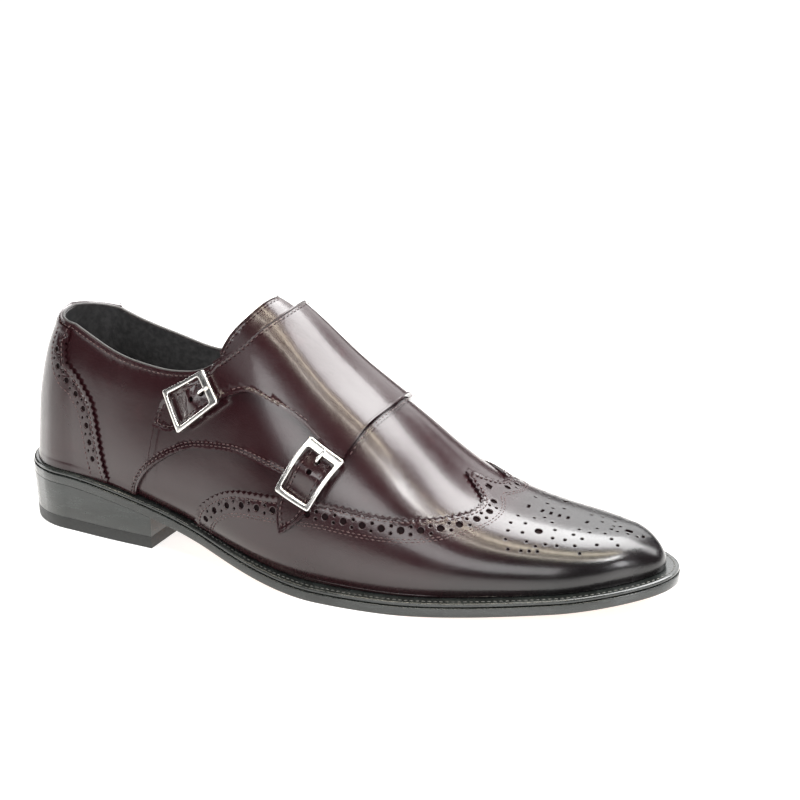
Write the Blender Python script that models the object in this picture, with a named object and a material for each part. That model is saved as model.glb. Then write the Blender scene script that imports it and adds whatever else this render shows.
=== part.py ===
"""A double monk strap shoe with a wing tip, for the right foot.

Sizes are in millimetres until a mesh is finished. Along the shoe, a station runs from 0 at the back of
the heel to LAST_LENGTH at the toe. Across it, a place runs from -1 at the lateral feather line, where the
upper meets the welt, over 0 at the crown to 1 at the medial feather line. The rise of a point is its share
of the way from the feather line up to the crown. A depth is measured outwards from the last's surface,
which is the outer face of the upper's lining and vamp. X points to the toe, Y to the medial side and Z up,
and the origin is under the middle of the shoe, on the ground.
"""

import math
from collections import namedtuple

import bmesh
import bpy
import numpy as np
from mathutils import Vector

MM = 0.001
FIT_GAP = 0.3

# Last
LAST_LENGTH = 296.0
BALL_WIDTH = 88.0
INSTEP_HEIGHT = 102.0
HEEL_HEIGHT = 21.8
TOE_SPRING = 8.9
HEEL_ROUND = 31.0
TOE_ROUND = 37.5
TOE_CAP_ROUND = 19.0
# The powers of the rounds in plan at the heel and toe, and of the toe from the side. 2 is an ellipse.
HEEL_POWER = 2.15
TOE_POWER = 2.0
TOE_CAP_POWER = 2.3
SIDE_BULGE = 4.0
BULGE_HEIGHT = 16.0
BACK_LEAN = 11.0
COLLAR_NARROWING = 0.25
LEAN_HEIGHT = 62.0

# Sole and heel
OUTSOLE_THICKNESS = 4.0
WELT_THICKNESS = 1.7
INSOLE_THICKNESS = 3.0
SOLE_MARGIN_FRONT = 5.4
SOLE_MARGIN_HEEL = 2.1
# The margin widens between these shares of LAST_LENGTH.
MARGIN_REAR = 0.35
MARGIN_FRONT = 0.55
HEEL_LENGTH = 76.0
HEEL_TAPER = 1.0
TOP_PIECE_THICKNESS = 5.7

# Leather
UPPER_WALL = 1.6
OVERLAY_THICKNESS = 1.15
COUNTER_THICKNESS = 1.15
STRAP_THICKNESS = 1.8
TONGUE_THICKNESS = 1.6
LAYER_GAP = 0.55
# The last's line is the shoe's outer one, so the layers start this far inside it at the feather line.
SIDE_ALLOWANCE = 1.5
HEEL_ALLOWANCE = 1.2
ALLOWANCE_RISE = 0.5
ALLOWANCE_REAR = 0.16
ALLOWANCE_FRONT = 0.28

# Straps and buckles
ARM_WIDTH = 13.2
ARM_NECK = 1.0
ARM_SHOULDER = 1.5
ARM_TIP_LENGTH = 11.5
TIP_ROUNDING = 1.7
ARM_TIP_SHARES = (0.35, 0.65, 0.88)
BUCKLE_LENGTH = 24.4
BUCKLE_WIDTH = 17.4
BUCKLE_CORNER = 2.0
CORNER_STEPS = 3
BAR_THIRD = 0.33
BAR_DIAMETER = 2.0
CENTRE_BAR_DIAMETER = 1.5
PRONG_DIAMETER = 1.5
PRONG_HOLE = 3.4
PRONG_BEND = 1.0
PRONG_MIDDLE = 0.6
PRONG_OVERHANG = 0.4
HUMP_LENGTH = 8.5
HUMP_CUT_END = 4.0
HUMP_CUT_SIDE = 1.0

# The last, a row for each section. station is a share of LAST_LENGTH. half_width, centre and ridge are
# shares of BALL_WIDTH, and crown, the height over the feather line, is one of INSTEP_HEIGHT. flare is the
# power that squares a section off, and bulge is a share of SIDE_BULGE. Behind station 0.35 the crown lies
# above the collar and only gives the side walls their slope.
LastRow = namedtuple("LastRow", "station half_width centre ridge crown flare bulge")
LAST_ROWS = (
    LastRow(0.10, 0.344, 0.017, 0.017, 1.690, 1.01, -0.28),
    LastRow(0.20, 0.340, -0.015, 0.000, 1.420, 1.00, 0.58),
    LastRow(0.31, 0.334, -0.045, 0.011, 1.063, 1.00, 1.00),
    LastRow(0.42, 0.388, -0.075, 0.026, 1.005, 0.94, 1.00),
    LastRow(0.53, 0.457, -0.069, 0.034, 0.794, 0.90, 0.75),
    LastRow(0.63, 0.495, -0.027, 0.031, 0.575, 0.86, 0.50),
    LastRow(0.73, 0.486, 0.023, 0.027, 0.333, 0.80, 0.45),
    LastRow(0.85, 0.399, 0.059, 0.045, 0.201, 0.77, 0.30),
    LastRow(1.00, 0.243, 0.077, 0.077, 0.122, 0.81, 0.13),
)

# The sole from the side, as shares of LAST_LENGTH: the heel seat ends, the tread begins and ends.
SEAT_FRONT = 0.08
TREAD_REAR = 0.55
TREAD_FRONT = 0.66
SPRING_POWER = 1.45
# The collar is drawn in fully behind the first of these shares of LAST_LENGTH, and not at all past the next.
NECK_REAR = 0.10
NECK_FRONT = 0.36

# Seams of the upper. station is a share of LAST_LENGTH and rise a share of the way up to the crown.
SeamRow = namedtuple("SeamRow", "station rise")
COLLAR = (
    SeamRow(0.000, 0.262),
    SeamRow(0.050, 0.257),
    SeamRow(0.100, 0.251),
    SeamRow(0.147, 0.252),
    SeamRow(0.184, 0.262),
    SeamRow(0.218, 0.285),
    SeamRow(0.251, 0.321),
    SeamRow(0.282, 0.363),
    SeamRow(0.314, 0.413),
    SeamRow(0.343, 0.460),
    SeamRow(0.360, 0.497),
)
COLLAR_MEDIAL = (
    SeamRow(0.000, 0.262),
    SeamRow(0.050, 0.251),
    SeamRow(0.100, 0.241),
    SeamRow(0.152, 0.243),
    SeamRow(0.195, 0.258),
    SeamRow(0.237, 0.285),
    SeamRow(0.272, 0.320),
    SeamRow(0.305, 0.372),
    SeamRow(0.335, 0.433),
    SeamRow(0.360, 0.497),
)
THROAT = (
    SeamRow(0.360, 0.497),
    SeamRow(0.390, 0.570),
    SeamRow(0.435, 0.690),
    SeamRow(0.485, 0.840),
    SeamRow(0.512, 1.000),
)
TONGUE_REAR = (
    SeamRow(0.415, 1.000),
    SeamRow(0.406, 0.852),
    SeamRow(0.390, 0.723),
    SeamRow(0.371, 0.612),
    SeamRow(0.362, 0.542),
)
TONGUE_SIDE = (
    SeamRow(0.362, 0.542),
    SeamRow(0.385, 0.460),
    SeamRow(0.450, 0.480),
    SeamRow(0.540, 0.580),
    SeamRow(0.590, 0.780),
    SeamRow(0.600, 1.000),
)
STRAP_REAR = (
    SeamRow(0.373, 0.510),
    SeamRow(0.399, 0.585),
    SeamRow(0.418, 0.669),
    SeamRow(0.434, 0.785),
    SeamRow(0.445, 0.930),
    SeamRow(0.446, 1.000),
)
STRAP_FRONT = (
    SeamRow(0.603, 1.000),
    SeamRow(0.600, 0.890),
    SeamRow(0.592, 0.740),
    SeamRow(0.583, 0.600),
    SeamRow(0.578, 0.535),
)
STRAP_FRONT_MEDIAL = (
    SeamRow(0.603, 1.000),
    SeamRow(0.597, 0.800),
    SeamRow(0.585, 0.600),
    SeamRow(0.562, 0.375),
)
STRAP_CUTOUT = (
    SeamRow(0.408, 0.445),
    SeamRow(0.426, 0.475),
    SeamRow(0.443, 0.488),
    SeamRow(0.468, 0.502),
    SeamRow(0.494, 0.518),
    SeamRow(0.516, 0.525),
)
QUARTER_LOWER = (
    SeamRow(0.226, 0.000),
    SeamRow(0.245, 0.057),
    SeamRow(0.272, 0.115),
    SeamRow(0.304, 0.174),
    SeamRow(0.337, 0.222),
    SeamRow(0.380, 0.257),
    SeamRow(0.420, 0.282),
    SeamRow(0.450, 0.294),
    SeamRow(0.490, 0.313),
    SeamRow(0.520, 0.330),
)
QUARTER_FRONT = (
    SeamRow(0.520, 0.330),
    SeamRow(0.540, 0.400),
    SeamRow(0.556, 0.500),
    SeamRow(0.550, 0.580),
    SeamRow(0.500, 0.630),
    SeamRow(0.440, 0.640),
    SeamRow(0.390, 0.575),
    SeamRow(0.362, 0.505),
)
MEDIAL_LOWER = (
    SeamRow(0.226, 0.000),
    SeamRow(0.245, 0.057),
    SeamRow(0.272, 0.117),
    SeamRow(0.304, 0.173),
    SeamRow(0.335, 0.220),
    SeamRow(0.390, 0.278),
    SeamRow(0.460, 0.326),
    SeamRow(0.562, 0.375),
)
WING_TOP = (
    SeamRow(0.338, 0.000),
    SeamRow(0.345, 0.040),
    SeamRow(0.360, 0.085),
    SeamRow(0.379, 0.122),
    SeamRow(0.407, 0.160),
    SeamRow(0.458, 0.203),
    SeamRow(0.510, 0.254),
    SeamRow(0.560, 0.305),
    SeamRow(0.618, 0.352),
    SeamRow(0.666, 0.430),
    SeamRow(0.710, 0.567),
    SeamRow(0.732, 0.680),
    SeamRow(0.747, 0.800),
    SeamRow(0.748, 0.900),
    SeamRow(0.732, 0.960),
    SeamRow(0.709, 1.000),
)
COUNTER_FRONT = (
    SeamRow(0.174, 0.000),
    SeamRow(0.169, 0.037),
    SeamRow(0.163, 0.074),
    SeamRow(0.156, 0.109),
    SeamRow(0.151, 0.132),
    SeamRow(0.138, 0.149),
    SeamRow(0.122, 0.166),
    SeamRow(0.103, 0.177),
    SeamRow(0.094, 0.197),
    SeamRow(0.093, 0.217),
    SeamRow(0.099, 0.237),
    SeamRow(0.111, 0.252),
)

# Where each buckle's centre sits, and the angle of its strap arm to the shoe's length.
BuckleRow = namedtuple("BuckleRow", "name station rise angle")
BUCKLES = (
    BuckleRow("upper", 0.340, 0.363, 56.0),
    BuckleRow("lower", 0.538, 0.385, 88.0),
)
STRAP_LIFT_TOP = 0.86
STRAP_LIFT_FULL = 0.66
STRAP_THIN_STATION = 0.31
STRAP_FULL_STATION = 0.44

# Net that every panel is cut on, so that the layers bend alike
HEEL_STEPS = 6
BODY_STEPS = 26
TIP_STEPS = 6
TIP_LENGTH = 18.0
TIP_EXTRAS = (1.2, 0.15)
RISE_STEPS = 11
FLAT_HALF = 60.0
NET_SNAP = 0.3
SEAM_INSET = 0.2
WELD = 0.004


def natural_spline(xs, ys):
    """A natural cubic through the points, as a function of arrays."""
    xs, ys = np.asarray(xs, float), np.asarray(ys, float)
    count, gaps = len(xs), np.diff(xs)
    matrix, right = np.zeros((count, count)), np.zeros(count)
    matrix[0, 0] = matrix[-1, -1] = 1.0
    for i in range(1, count - 1):
        matrix[i, i - 1 : i + 2] = gaps[i - 1], 2 * (gaps[i - 1] + gaps[i]), gaps[i]
        right[i] = 6 * ((ys[i + 1] - ys[i]) / gaps[i] - (ys[i] - ys[i - 1]) / gaps[i - 1])
    bend = np.linalg.solve(matrix, right)

    def value(x):
        x = np.asarray(x, float)
        k = np.clip(np.searchsorted(xs, x) - 1, 0, count - 2)
        gap, ahead, behind = gaps[k], xs[k + 1] - x, x - xs[k]
        cubic = (bend[k] * ahead**3 + bend[k + 1] * behind**3) / (6 * gap)
        start = (ys[k] / gap - bend[k] * gap / 6) * ahead
        return cubic + start + (ys[k + 1] / gap - bend[k + 1] * gap / 6) * behind

    return value


def last_column(name, size):
    """One column of LAST_ROWS along the shoe, times the size it is a share of."""
    curve = natural_spline([row.station for row in LAST_ROWS], [getattr(row, name) for row in LAST_ROWS])
    first, final = LAST_ROWS[0].station, LAST_ROWS[-1].station
    return lambda station: size * curve(np.clip(np.asarray(station, float) / LAST_LENGTH, first, final))


half_width = last_column("half_width", BALL_WIDTH)
centre_line = last_column("centre", BALL_WIDTH)
ridge_line = last_column("ridge", BALL_WIDTH)
crown_height = last_column("crown", INSTEP_HEIGHT)
section_flare = last_column("flare", 1.0)
side_bulge = last_column("bulge", SIDE_BULGE)


def smooth_step(value):
    value = np.clip(value, 0.0, 1.0)
    return value * value * (3.0 - 2.0 * value)


def underside(x):
    """Height of the outsole's underside: heel seat, waist, flat tread and toe spring."""
    share = np.asarray(x, float) / LAST_LENGTH
    waist = smooth_step((TREAD_REAR - share) / (TREAD_REAR - SEAT_FRONT))
    spring = np.clip((share - TREAD_FRONT) / (1.0 - TREAD_FRONT), 0.0, None)
    return HEEL_HEIGHT * waist + TOE_SPRING * spring**SPRING_POWER


def feather_height(x):
    return underside(x) + OUTSOLE_THICKNESS + WELT_THICKNESS + 2 * FIT_GAP


def closing(station, length, power):
    """Falls from 1 to 0 over the last stretch before the toe, as a rounded end does."""
    share = np.clip((station - LAST_LENGTH + length) / length, 0.0, 1.0)
    return (1.0 - share**power) ** (1.0 / power)


def feather_point(station, side):
    """Plan of the feather line. side is -1 on the lateral edge and 1 on the medial one."""
    station = np.asarray(station, float)
    width = half_width(station) * closing(station, TOE_ROUND, TOE_POWER)
    turn = np.clip(station / HEEL_ROUND, 0.0, 1.0) * math.pi / 2
    heel_half, power = half_width(HEEL_ROUND), HEEL_POWER
    reach = (np.abs(np.cos(turn)) / HEEL_ROUND) ** power + (np.abs(np.sin(turn)) / heel_half) ** power
    reach = reach ** (-1.0 / power)
    in_heel = station < HEEL_ROUND
    x = np.where(in_heel, HEEL_ROUND - reach * np.cos(turn), station)
    heel_y = centre_line(HEEL_ROUND) + side * reach * np.sin(turn)
    y = np.where(in_heel, heel_y, centre_line(station) + side * width)
    return x, y


def plan_normal(station, side):
    """Unit normal of the feather line in plan, pointing out of the shoe."""
    station, side = np.broadcast_arrays(np.asarray(station, float), np.asarray(side, float))
    step = 0.05
    x0, y0 = feather_point(np.clip(station - step, 0.0, LAST_LENGTH), side)
    x1, y1 = feather_point(np.clip(station + step, 0.0, LAST_LENGTH), side)
    length = np.hypot(x1 - x0, y1 - y0) + 1e-12
    nx, ny = -(y1 - y0) / length * side, (x1 - x0) / length * side
    at_toe, at_heel = station >= LAST_LENGTH - 1e-6, station <= 1e-6
    nx = np.where(at_toe, 1.0, np.where(at_heel, -1.0, nx))
    return nx, np.where(at_toe | at_heel, 0.0, ny)


def edge_point(station, side, margin):
    """Plan of a line that runs a margin outside the feather line, or inside it where it is negative."""
    x, y = feather_point(station, side)
    nx, ny = plan_normal(station, side)
    return x + nx * margin, y + ny * margin


def sole_margin(station):
    share = np.asarray(station, float) / LAST_LENGTH
    forward = np.clip((share - MARGIN_REAR) / (MARGIN_FRONT - MARGIN_REAR), 0.0, 1.0)
    return SOLE_MARGIN_HEEL + (SOLE_MARGIN_FRONT - SOLE_MARGIN_HEEL) * forward


def last_point(station, across):
    """Points of the last's surface as an array of x, y, z."""
    station, across = np.broadcast_arrays(np.asarray(station, float), np.asarray(across, float))
    side = np.where(across < 0, -1.0, 1.0)
    turn = (1.0 - np.abs(across)) * math.pi / 2
    spine = np.maximum(station, HEEL_ROUND)
    foot_x, foot_y = feather_point(station, side)
    base = feather_height(foot_x)
    height = crown_height(spine) * closing(spine, TOE_CAP_ROUND, TOE_CAP_POWER)
    spread = np.clip(np.cos(turn), 1e-9, 1.0) ** section_flare(spine)
    z = base + height * np.sin(turn)
    lift = (z - base) / BULGE_HEIGHT
    bulge = lift * np.exp(1.0 - lift) * side_bulge(spine)
    nx, ny = plan_normal(station, side)
    behind = np.sin(np.clip(1.0 - station / HEEL_ROUND, 0.0, 1.0) * math.pi / 2)
    high = np.clip((z - base) / LEAN_HEIGHT, 0.0, 1.5) ** 2
    x = spine * (1.0 - spread) + foot_x * spread + nx * bulge + BACK_LEAN * behind * high
    y = ridge_line(spine) * (1.0 - spread) + foot_y * spread + ny * bulge
    rear = smooth_step((NECK_FRONT - station / LAST_LENGTH) / (NECK_FRONT - NECK_REAR))
    y = y + (centre_line(spine) - y) * COLLAR_NARROWING * high * rear
    return np.stack([x, y, z], axis=-1)


def last_normal(station, across):
    """Unit normals of the last's surface, never pointing down, so that no layer dips under the feather."""
    station, across = np.broadcast_arrays(np.asarray(station, float), np.asarray(across, float))
    at_back, at_tip = station <= 1e-6, station >= LAST_LENGTH - 1e-3
    across = np.where(at_back, np.abs(across), across)
    step = np.clip((LAST_LENGTH - station) / 2, 0.001, 0.4)
    ahead = np.minimum(station + step, LAST_LENGTH)
    along = last_point(ahead, across) - last_point(np.maximum(station - step, 0.0), across)
    side_step = 0.01
    upper = last_point(station, np.minimum(across + side_step, 1.0))
    over = upper - last_point(station, np.maximum(across - side_step, -1.0))
    normal = np.cross(along, over)
    normal[..., 2] = np.maximum(normal[..., 2], 0.0)
    normal[..., 1] = np.where(at_back | at_tip, 0.0, normal[..., 1])
    normal[at_tip] = 1.0, 0.0, 0.0
    return normal / (np.linalg.norm(normal, axis=-1, keepdims=True) + 1e-12)


def allowance(station, across):
    """How far inside the last's line the layers start: fading out up the sides, alike all round the tip."""
    station = np.asarray(station, float)
    share, rise = station / LAST_LENGTH, 1.0 - np.abs(across)
    fade = 1.0 - smooth_step(rise / ALLOWANCE_RISE)
    body = smooth_step((LAST_LENGTH - station) / TIP_LENGTH)
    heel = smooth_step((ALLOWANCE_FRONT - share) / (ALLOWANCE_FRONT - ALLOWANCE_REAR))
    return SIDE_ALLOWANCE * (1.0 - body + body * fade) + HEEL_ALLOWANCE * heel * fade


def skin(station, across, depth):
    """Points at a depth over the last's surface, outwards."""
    depth = np.asarray(depth) - allowance(station, across)
    point = last_point(station, across) + last_normal(station, across) * depth[..., None]
    foot_x, _ = feather_point(station, np.where(np.asarray(across) < 0, -1.0, 1.0))
    point[..., 2] = np.maximum(point[..., 2], feather_height(foot_x))
    return point


def sole_ring(margin):
    """Closed plan outline, a margin outside the feather line: heel, lateral side, toe, medial side."""
    stations = np.array(ring_stations())
    offset = margin(stations) if callable(margin) else np.full(len(stations), float(margin))
    lateral = np.stack(edge_point(stations, -1.0, offset), axis=-1)
    medial = np.stack(edge_point(stations, 1.0, offset), axis=-1)[1:-1]
    return [tuple(point) for point in np.vstack([lateral, medial[::-1]])]


def net_stations():
    """Stations of the net: even turns round the heel, even steps, then closer ones to the toe's tip."""
    heel = [HEEL_ROUND * i / HEEL_STEPS for i in range(HEEL_STEPS)]
    front = LAST_LENGTH - TIP_LENGTH
    body = [HEEL_ROUND + (front - HEEL_ROUND) * i / BODY_STEPS for i in range(BODY_STEPS)]
    tip = [LAST_LENGTH - TIP_LENGTH * ((TIP_STEPS - i) / TIP_STEPS) ** 2 for i in range(TIP_STEPS + 1)]
    return heel + body + tip


def ring_stations():
    """The net's stations, with two more near the toe's tip, where the plan turns fastest."""
    return sorted(net_stations() + [LAST_LENGTH - behind for behind in TIP_EXTRAS])


def net_places():
    rises = [i / RISE_STEPS for i in range(RISE_STEPS)]
    return [rise - 1.0 for rise in rises] + [0.0] + [1.0 - rise for rise in reversed(rises)]


BOX_RING = np.array(sole_ring(sole_margin))
CENTRE = (BOX_RING.min(axis=0) + BOX_RING.max(axis=0)) / 2


def seam(rows, side, step=6.0):
    """A seam's points on the flat net, through its rows, as pairs of station and place."""
    points = np.array([(row.station * LAST_LENGTH, (1.0 - row.rise) * FLAT_HALF) for row in rows])
    way = np.concatenate([[0.0], np.cumsum(np.hypot(*np.diff(points, axis=0).T))])
    count = max(2, int(math.ceil(way[-1] / step)) + 1)
    places = np.linspace(0.0, way[-1], count)
    stations = natural_spline(way, points[:, 0])(places)
    rises = np.clip(natural_spline(way, points[:, 1])(places), 0.0, FLAT_HALF)
    return [(float(s), side * float(v) / FLAT_HALF) for s, v in zip(stations, rises)]


def joined(*runs):
    """One outline from runs of points, without the point that a run shares with the one before it."""
    outline = []
    for run in runs:
        for point in run:
            if not outline or math.dist(point, outline[-1]) > 1e-6:
                outline.append(point)
    if math.dist(outline[0], outline[-1]) < 1e-6:
        outline.pop()
    return outline


def buckle_patch(row):
    """Local millimetres on the last at a buckle: forward maps (along, across the arm) to the net, and
    back maps the net to them. along points from the arm's tip to its root."""
    station, place = row.station * LAST_LENGTH, row.rise - 1.0
    origin = last_point(station, place)
    by_station = (last_point(station + 0.5, place) - origin) / 0.5
    by_place = (last_point(station, place + 0.005) - origin) / 0.005
    normal = last_normal(station, place)
    ahead = by_station / np.linalg.norm(by_station)
    up = np.cross(normal, ahead)
    turn = math.radians(row.angle)
    along = ahead * math.cos(turn) + up * math.sin(turn)
    across = up * math.cos(turn) - ahead * math.sin(turn)
    to_local = np.array([[by_station @ along, by_place @ along], [by_station @ across, by_place @ across]])
    to_net = np.linalg.inv(to_local)

    def forward(a, b):
        moved = to_net @ np.array([a, b])
        return np.array([station, place]).reshape((2,) + (1,) * (moved.ndim - 1)) + moved

    def back(s, v):
        return to_local @ np.array([np.asarray(s) - station, np.asarray(v) - place])

    return forward, back


PATCHES = {row.name: buckle_patch(row) for row in BUCKLES}


def arm_points(name, pairs):
    forward, _ = PATCHES[name]
    return [tuple(float(value) for value in forward(a, b)) for a, b in pairs]


def strap_base(station, place):
    """Depth of the strap's underside: on the vamp over the crown, over the quarter on the lateral side."""
    rise = 1.0 - np.abs(place)
    lift = smooth_step((STRAP_LIFT_TOP - rise) / (STRAP_LIFT_TOP - STRAP_LIFT_FULL)) * (place < 0)
    return LAYER_GAP + (OVERLAY_THICKNESS + LAYER_GAP) * lift


def strap_hump(station, place):
    """How far an arm rises to pass over its buckle's centre bar."""
    rise = np.zeros(np.broadcast(station, place).shape)
    for _, back in PATCHES.values():
        along, across = back(station, place)
        near = (np.abs(along) < HUMP_LENGTH) & (np.abs(across) < BUCKLE_WIDTH) & (place < 0)
        wave = 0.5 + 0.5 * np.cos(np.clip(along / HUMP_LENGTH, -1.0, 1.0) * math.pi)
        rise = np.where(near, (CENTRE_BAR_DIAMETER + LAYER_GAP) * wave, rise)
    return rise


def strap_thickness(station, place):
    """The medial quarter is single leather, and thickens into the lined strap over the instep."""
    share = (station / LAST_LENGTH - STRAP_THIN_STATION) / (STRAP_FULL_STATION - STRAP_THIN_STATION)
    full = np.where(place < 0, 1.0, smooth_step(share))
    return OVERLAY_THICKNESS + (STRAP_THICKNESS - OVERLAY_THICKNESS) * full


def arm_top():
    """Depth of an arm's outer face beside its buckle."""
    return LAYER_GAP + OVERLAY_THICKNESS + LAYER_GAP + STRAP_THICKNESS


def make_material(name, colour, roughness, metallic=0.0):
    material = bpy.data.materials.new(name)
    material.use_nodes = True
    shader = material.node_tree.nodes["Principled BSDF"]
    shader.inputs["Base Color"].default_value = (*colour, 1.0)
    shader.inputs["Roughness"].default_value = roughness
    shader.inputs["Metallic"].default_value = metallic
    return material


def add_object(name, bm, material, collection):
    """Turns a finished mesh in millimetres into an object in metres, centred over the origin."""
    bmesh.ops.translate(bm, verts=bm.verts, vec=(-CENTRE[0], -CENTRE[1], 0.0))
    bmesh.ops.scale(bm, verts=bm.verts, vec=(MM, MM, MM))
    mesh = bpy.data.meshes.new(name)
    bm.to_mesh(mesh)
    bm.free()
    mesh.shade_smooth()
    mesh.set_sharp_from_angle(angle=math.radians(40.0))
    mesh.materials.append(material)
    item = bpy.data.objects.new(name, mesh)
    collection.objects.link(item)
    return item


def cut_net(bm, normal, places):
    """Cuts the flat pattern along lines of the net."""
    for place in places:
        everything = bm.verts[:] + bm.edges[:] + bm.faces[:]
        bmesh.ops.bisect_plane(bm, geom=everything, dist=NET_SNAP, plane_co=normal * place, plane_no=normal)


def split_alike(bm):
    """Halves every square of the net along the same diagonal, and cuts the rest into triangles."""
    for face in [face for face in bm.faces if len(face.verts) == 4]:
        corners = sorted(face.verts, key=lambda vert: vert.co.x + vert.co.y)
        low, high = corners[0], corners[-1]
        if not any(low in edge.verts and high in edge.verts for edge in face.edges):
            bmesh.utils.face_split(face, low, high)
    bmesh.ops.triangulate(bm, faces=bm.faces, quad_method="BEAUTY", ngon_method="BEAUTY")


def bent_slab(outlines, station_lines, place_lines, bend, seam_ends=(), extra_cuts=()):
    """A flat pattern, cut on the net, given two faces and bent. bend takes the pattern's two coordinates
    and an array that is True on the outer face. Walls at the stations in seam_ends are left out, because
    both sides of the shoe meet there."""
    bm = bmesh.new()
    for outline in outlines:
        bm.faces.new([bm.verts.new((u, v, 0.0)) for u, v in outline])
    bm.normal_update()
    for face in bm.faces:
        if face.normal.z < 0:
            face.normal_flip()
    cut_net(bm, Vector((1.0, 0.0, 0.0)), station_lines)
    cut_net(bm, Vector((0.0, 1.0, 0.0)), place_lines)
    for point, normal, keep in extra_cuts:
        nearby = [face for face in bm.faces if keep(face.calc_center_median())]
        around = {item for face in nearby for item in (*face.verts, *face.edges)}
        bmesh.ops.bisect_plane(bm, geom=nearby + list(around), dist=NET_SNAP, plane_co=point, plane_no=normal)
    split_alike(bm)
    lower = bm.faces[:]
    lifted = bmesh.ops.extrude_face_region(bm, geom=lower, use_keep_orig=True)["geom"]
    lifted = [item for item in lifted if isinstance(item, bmesh.types.BMVert)]
    bmesh.ops.reverse_faces(bm, faces=lower)
    bmesh.ops.translate(bm, verts=lifted, vec=(0.0, 0.0, 1.0))
    for end in seam_ends:
        walls = [face for face in bm.faces if all(abs(vert.co.x - end) < 1e-4 for vert in face.verts)]
        bmesh.ops.delete(bm, geom=walls, context="FACES")
    flat = np.array([vert.co for vert in bm.verts])
    bent = bend(flat[:, 0], flat[:, 1], flat[:, 2] > 0.5)
    for vert, place in zip(bm.verts, bent):
        vert.co = place
    bmesh.ops.remove_doubles(bm, verts=bm.verts, dist=WELD)
    bmesh.ops.dissolve_degenerate(bm, edges=bm.edges, dist=WELD)
    bmesh.ops.triangulate(bm, faces=bm.faces)
    bmesh.ops.recalc_face_normals(bm, faces=bm.faces)
    return bm


def upper_panel(outlines, inner, outer, seam_ends=(), extra_cuts=()):
    """A panel of the upper between two depths, each a number or a function of station and place."""

    def depth(value, station, place):
        return value(station, place) if callable(value) else np.full(station.shape, float(value))

    def bend(u, v, outside):
        station = np.where(u > LAST_LENGTH - WELD, LAST_LENGTH, u)
        place = np.clip(v / FLAT_HALF, -1.0, 1.0)
        return skin(station, place, np.where(outside, depth(outer, station, place), depth(inner, station, place)))

    flat = [[(station, place * FLAT_HALF) for station, place in outline] for outline in outlines]
    lines = [place * FLAT_HALF for place in net_places()]
    return bent_slab(flat, net_stations(), lines, bend, seam_ends, extra_cuts)


def plan_slab(outline, bottom, top, taper=None):
    """A piece of the sole between two heights, each a function of x, cut where the sole bends."""

    def bend(x, y, above):
        z = np.where(above, top(x), bottom(x))
        if taper is not None:
            x, y = taper(x, y, above)
        return np.stack([x, y, z], axis=-1)

    return bent_slab([outline], sole_lines(), (), bend)


def sole_lines():
    """Cuts across the sole: even steps, and one at each end of the flat tread."""
    steps = [LAST_LENGTH * share for share in np.linspace(0.08, 0.98, 19)]
    steps = [x for x in steps if min(abs(x - LAST_LENGTH * edge) for edge in (TREAD_REAR, TREAD_FRONT)) > 4.0]
    return sorted(steps + [LAST_LENGTH * TREAD_REAR, LAST_LENGTH * TREAD_FRONT])


def collar_rows(side):
    return COLLAR if side < 0 else COLLAR_MEDIAL


def mirrored(rows):
    """A seam that runs up the lateral side, over the crown and down the medial side."""
    lateral = seam(rows, -1.0)
    return joined(lateral, [(station, -place) for station, place in reversed(lateral)])


def make_upper(material, collection):
    """Vamp and lining: one hollow shell, open at the collar and throat and underneath."""
    lateral, medial = (seam(collar_rows(side) + THROAT[1:], side) for side in (-1.0, 1.0))
    opening = joined(lateral, medial[::-1])
    outline = joined([(0.0, -1.0), (LAST_LENGTH, -1.0), (LAST_LENGTH, 1.0), (0.0, 1.0)], opening[::-1])
    bm = upper_panel([outline], -UPPER_WALL, 0.0, (0.0, LAST_LENGTH))
    return add_object("upper", bm, material, collection)


def make_tongue(material, collection):
    """The tongue lies inside the throat and shows behind the strap."""
    half = joined(seam(TONGUE_REAR, -1.0), seam(TONGUE_SIDE, -1.0))
    outline = joined(half, [(station, -place) for station, place in reversed(half)])
    outer = -UPPER_WALL - LAYER_GAP
    return add_object("tongue", upper_panel([outline], outer - TONGUE_THICKNESS, outer), material, collection)


def make_wing_tip(material, collection):
    outline = joined(mirrored(WING_TOP), [(LAST_LENGTH, 1.0), (LAST_LENGTH, -1.0)])
    bm = upper_panel([outline], LAYER_GAP, LAYER_GAP + OVERLAY_THICKNESS, (LAST_LENGTH,))
    return add_object("wing_tip", bm, material, collection)


def collar_run(start, end, side):
    """The collar between two stations, in shares of LAST_LENGTH, from the back forwards."""
    points = seam(collar_rows(side), side)
    stations, places = zip(*points)
    inside = [point for point in points if start * LAST_LENGTH < point[0] < end * LAST_LENGTH]
    ends = [(share * LAST_LENGTH, float(np.interp(share * LAST_LENGTH, stations, places))) for share in (start, end)]
    return [ends[0], *inside, ends[1]]


def make_counter(material, collection):
    """The heel counter wraps the back seam over both quarters."""
    outlines = []
    for side in (-1.0, 1.0):
        front = seam(COUNTER_FRONT, side)
        top = collar_run(0.0, COUNTER_FRONT[-1].station, side)
        below = [point for point in front if 1.0 - abs(point[1]) < 1.0 - abs(top[-1][1]) - NET_SNAP / FLAT_HALF]
        outlines.append(joined(below, top[::-1], [(0.0, side)]))
    base = LAYER_GAP + OVERLAY_THICKNESS + LAYER_GAP
    bm = upper_panel(outlines, base, base + COUNTER_THICKNESS, (0.0,))
    return add_object("counter", bm, material, collection)


def make_quarter_lateral(material, collection):
    start = SEAM_INSET / LAST_LENGTH
    top = collar_run(start, COLLAR[-1].station, -1.0)
    lower = seam(QUARTER_LOWER, -1.0)
    front = seam(QUARTER_FRONT, -1.0)
    outline = joined(lower, front, top[::-1], [(SEAM_INSET, -1.0)])
    bm = upper_panel([outline], LAYER_GAP, LAYER_GAP + OVERLAY_THICKNESS)
    return add_object("quarter_lateral", bm, material, collection)


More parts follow.
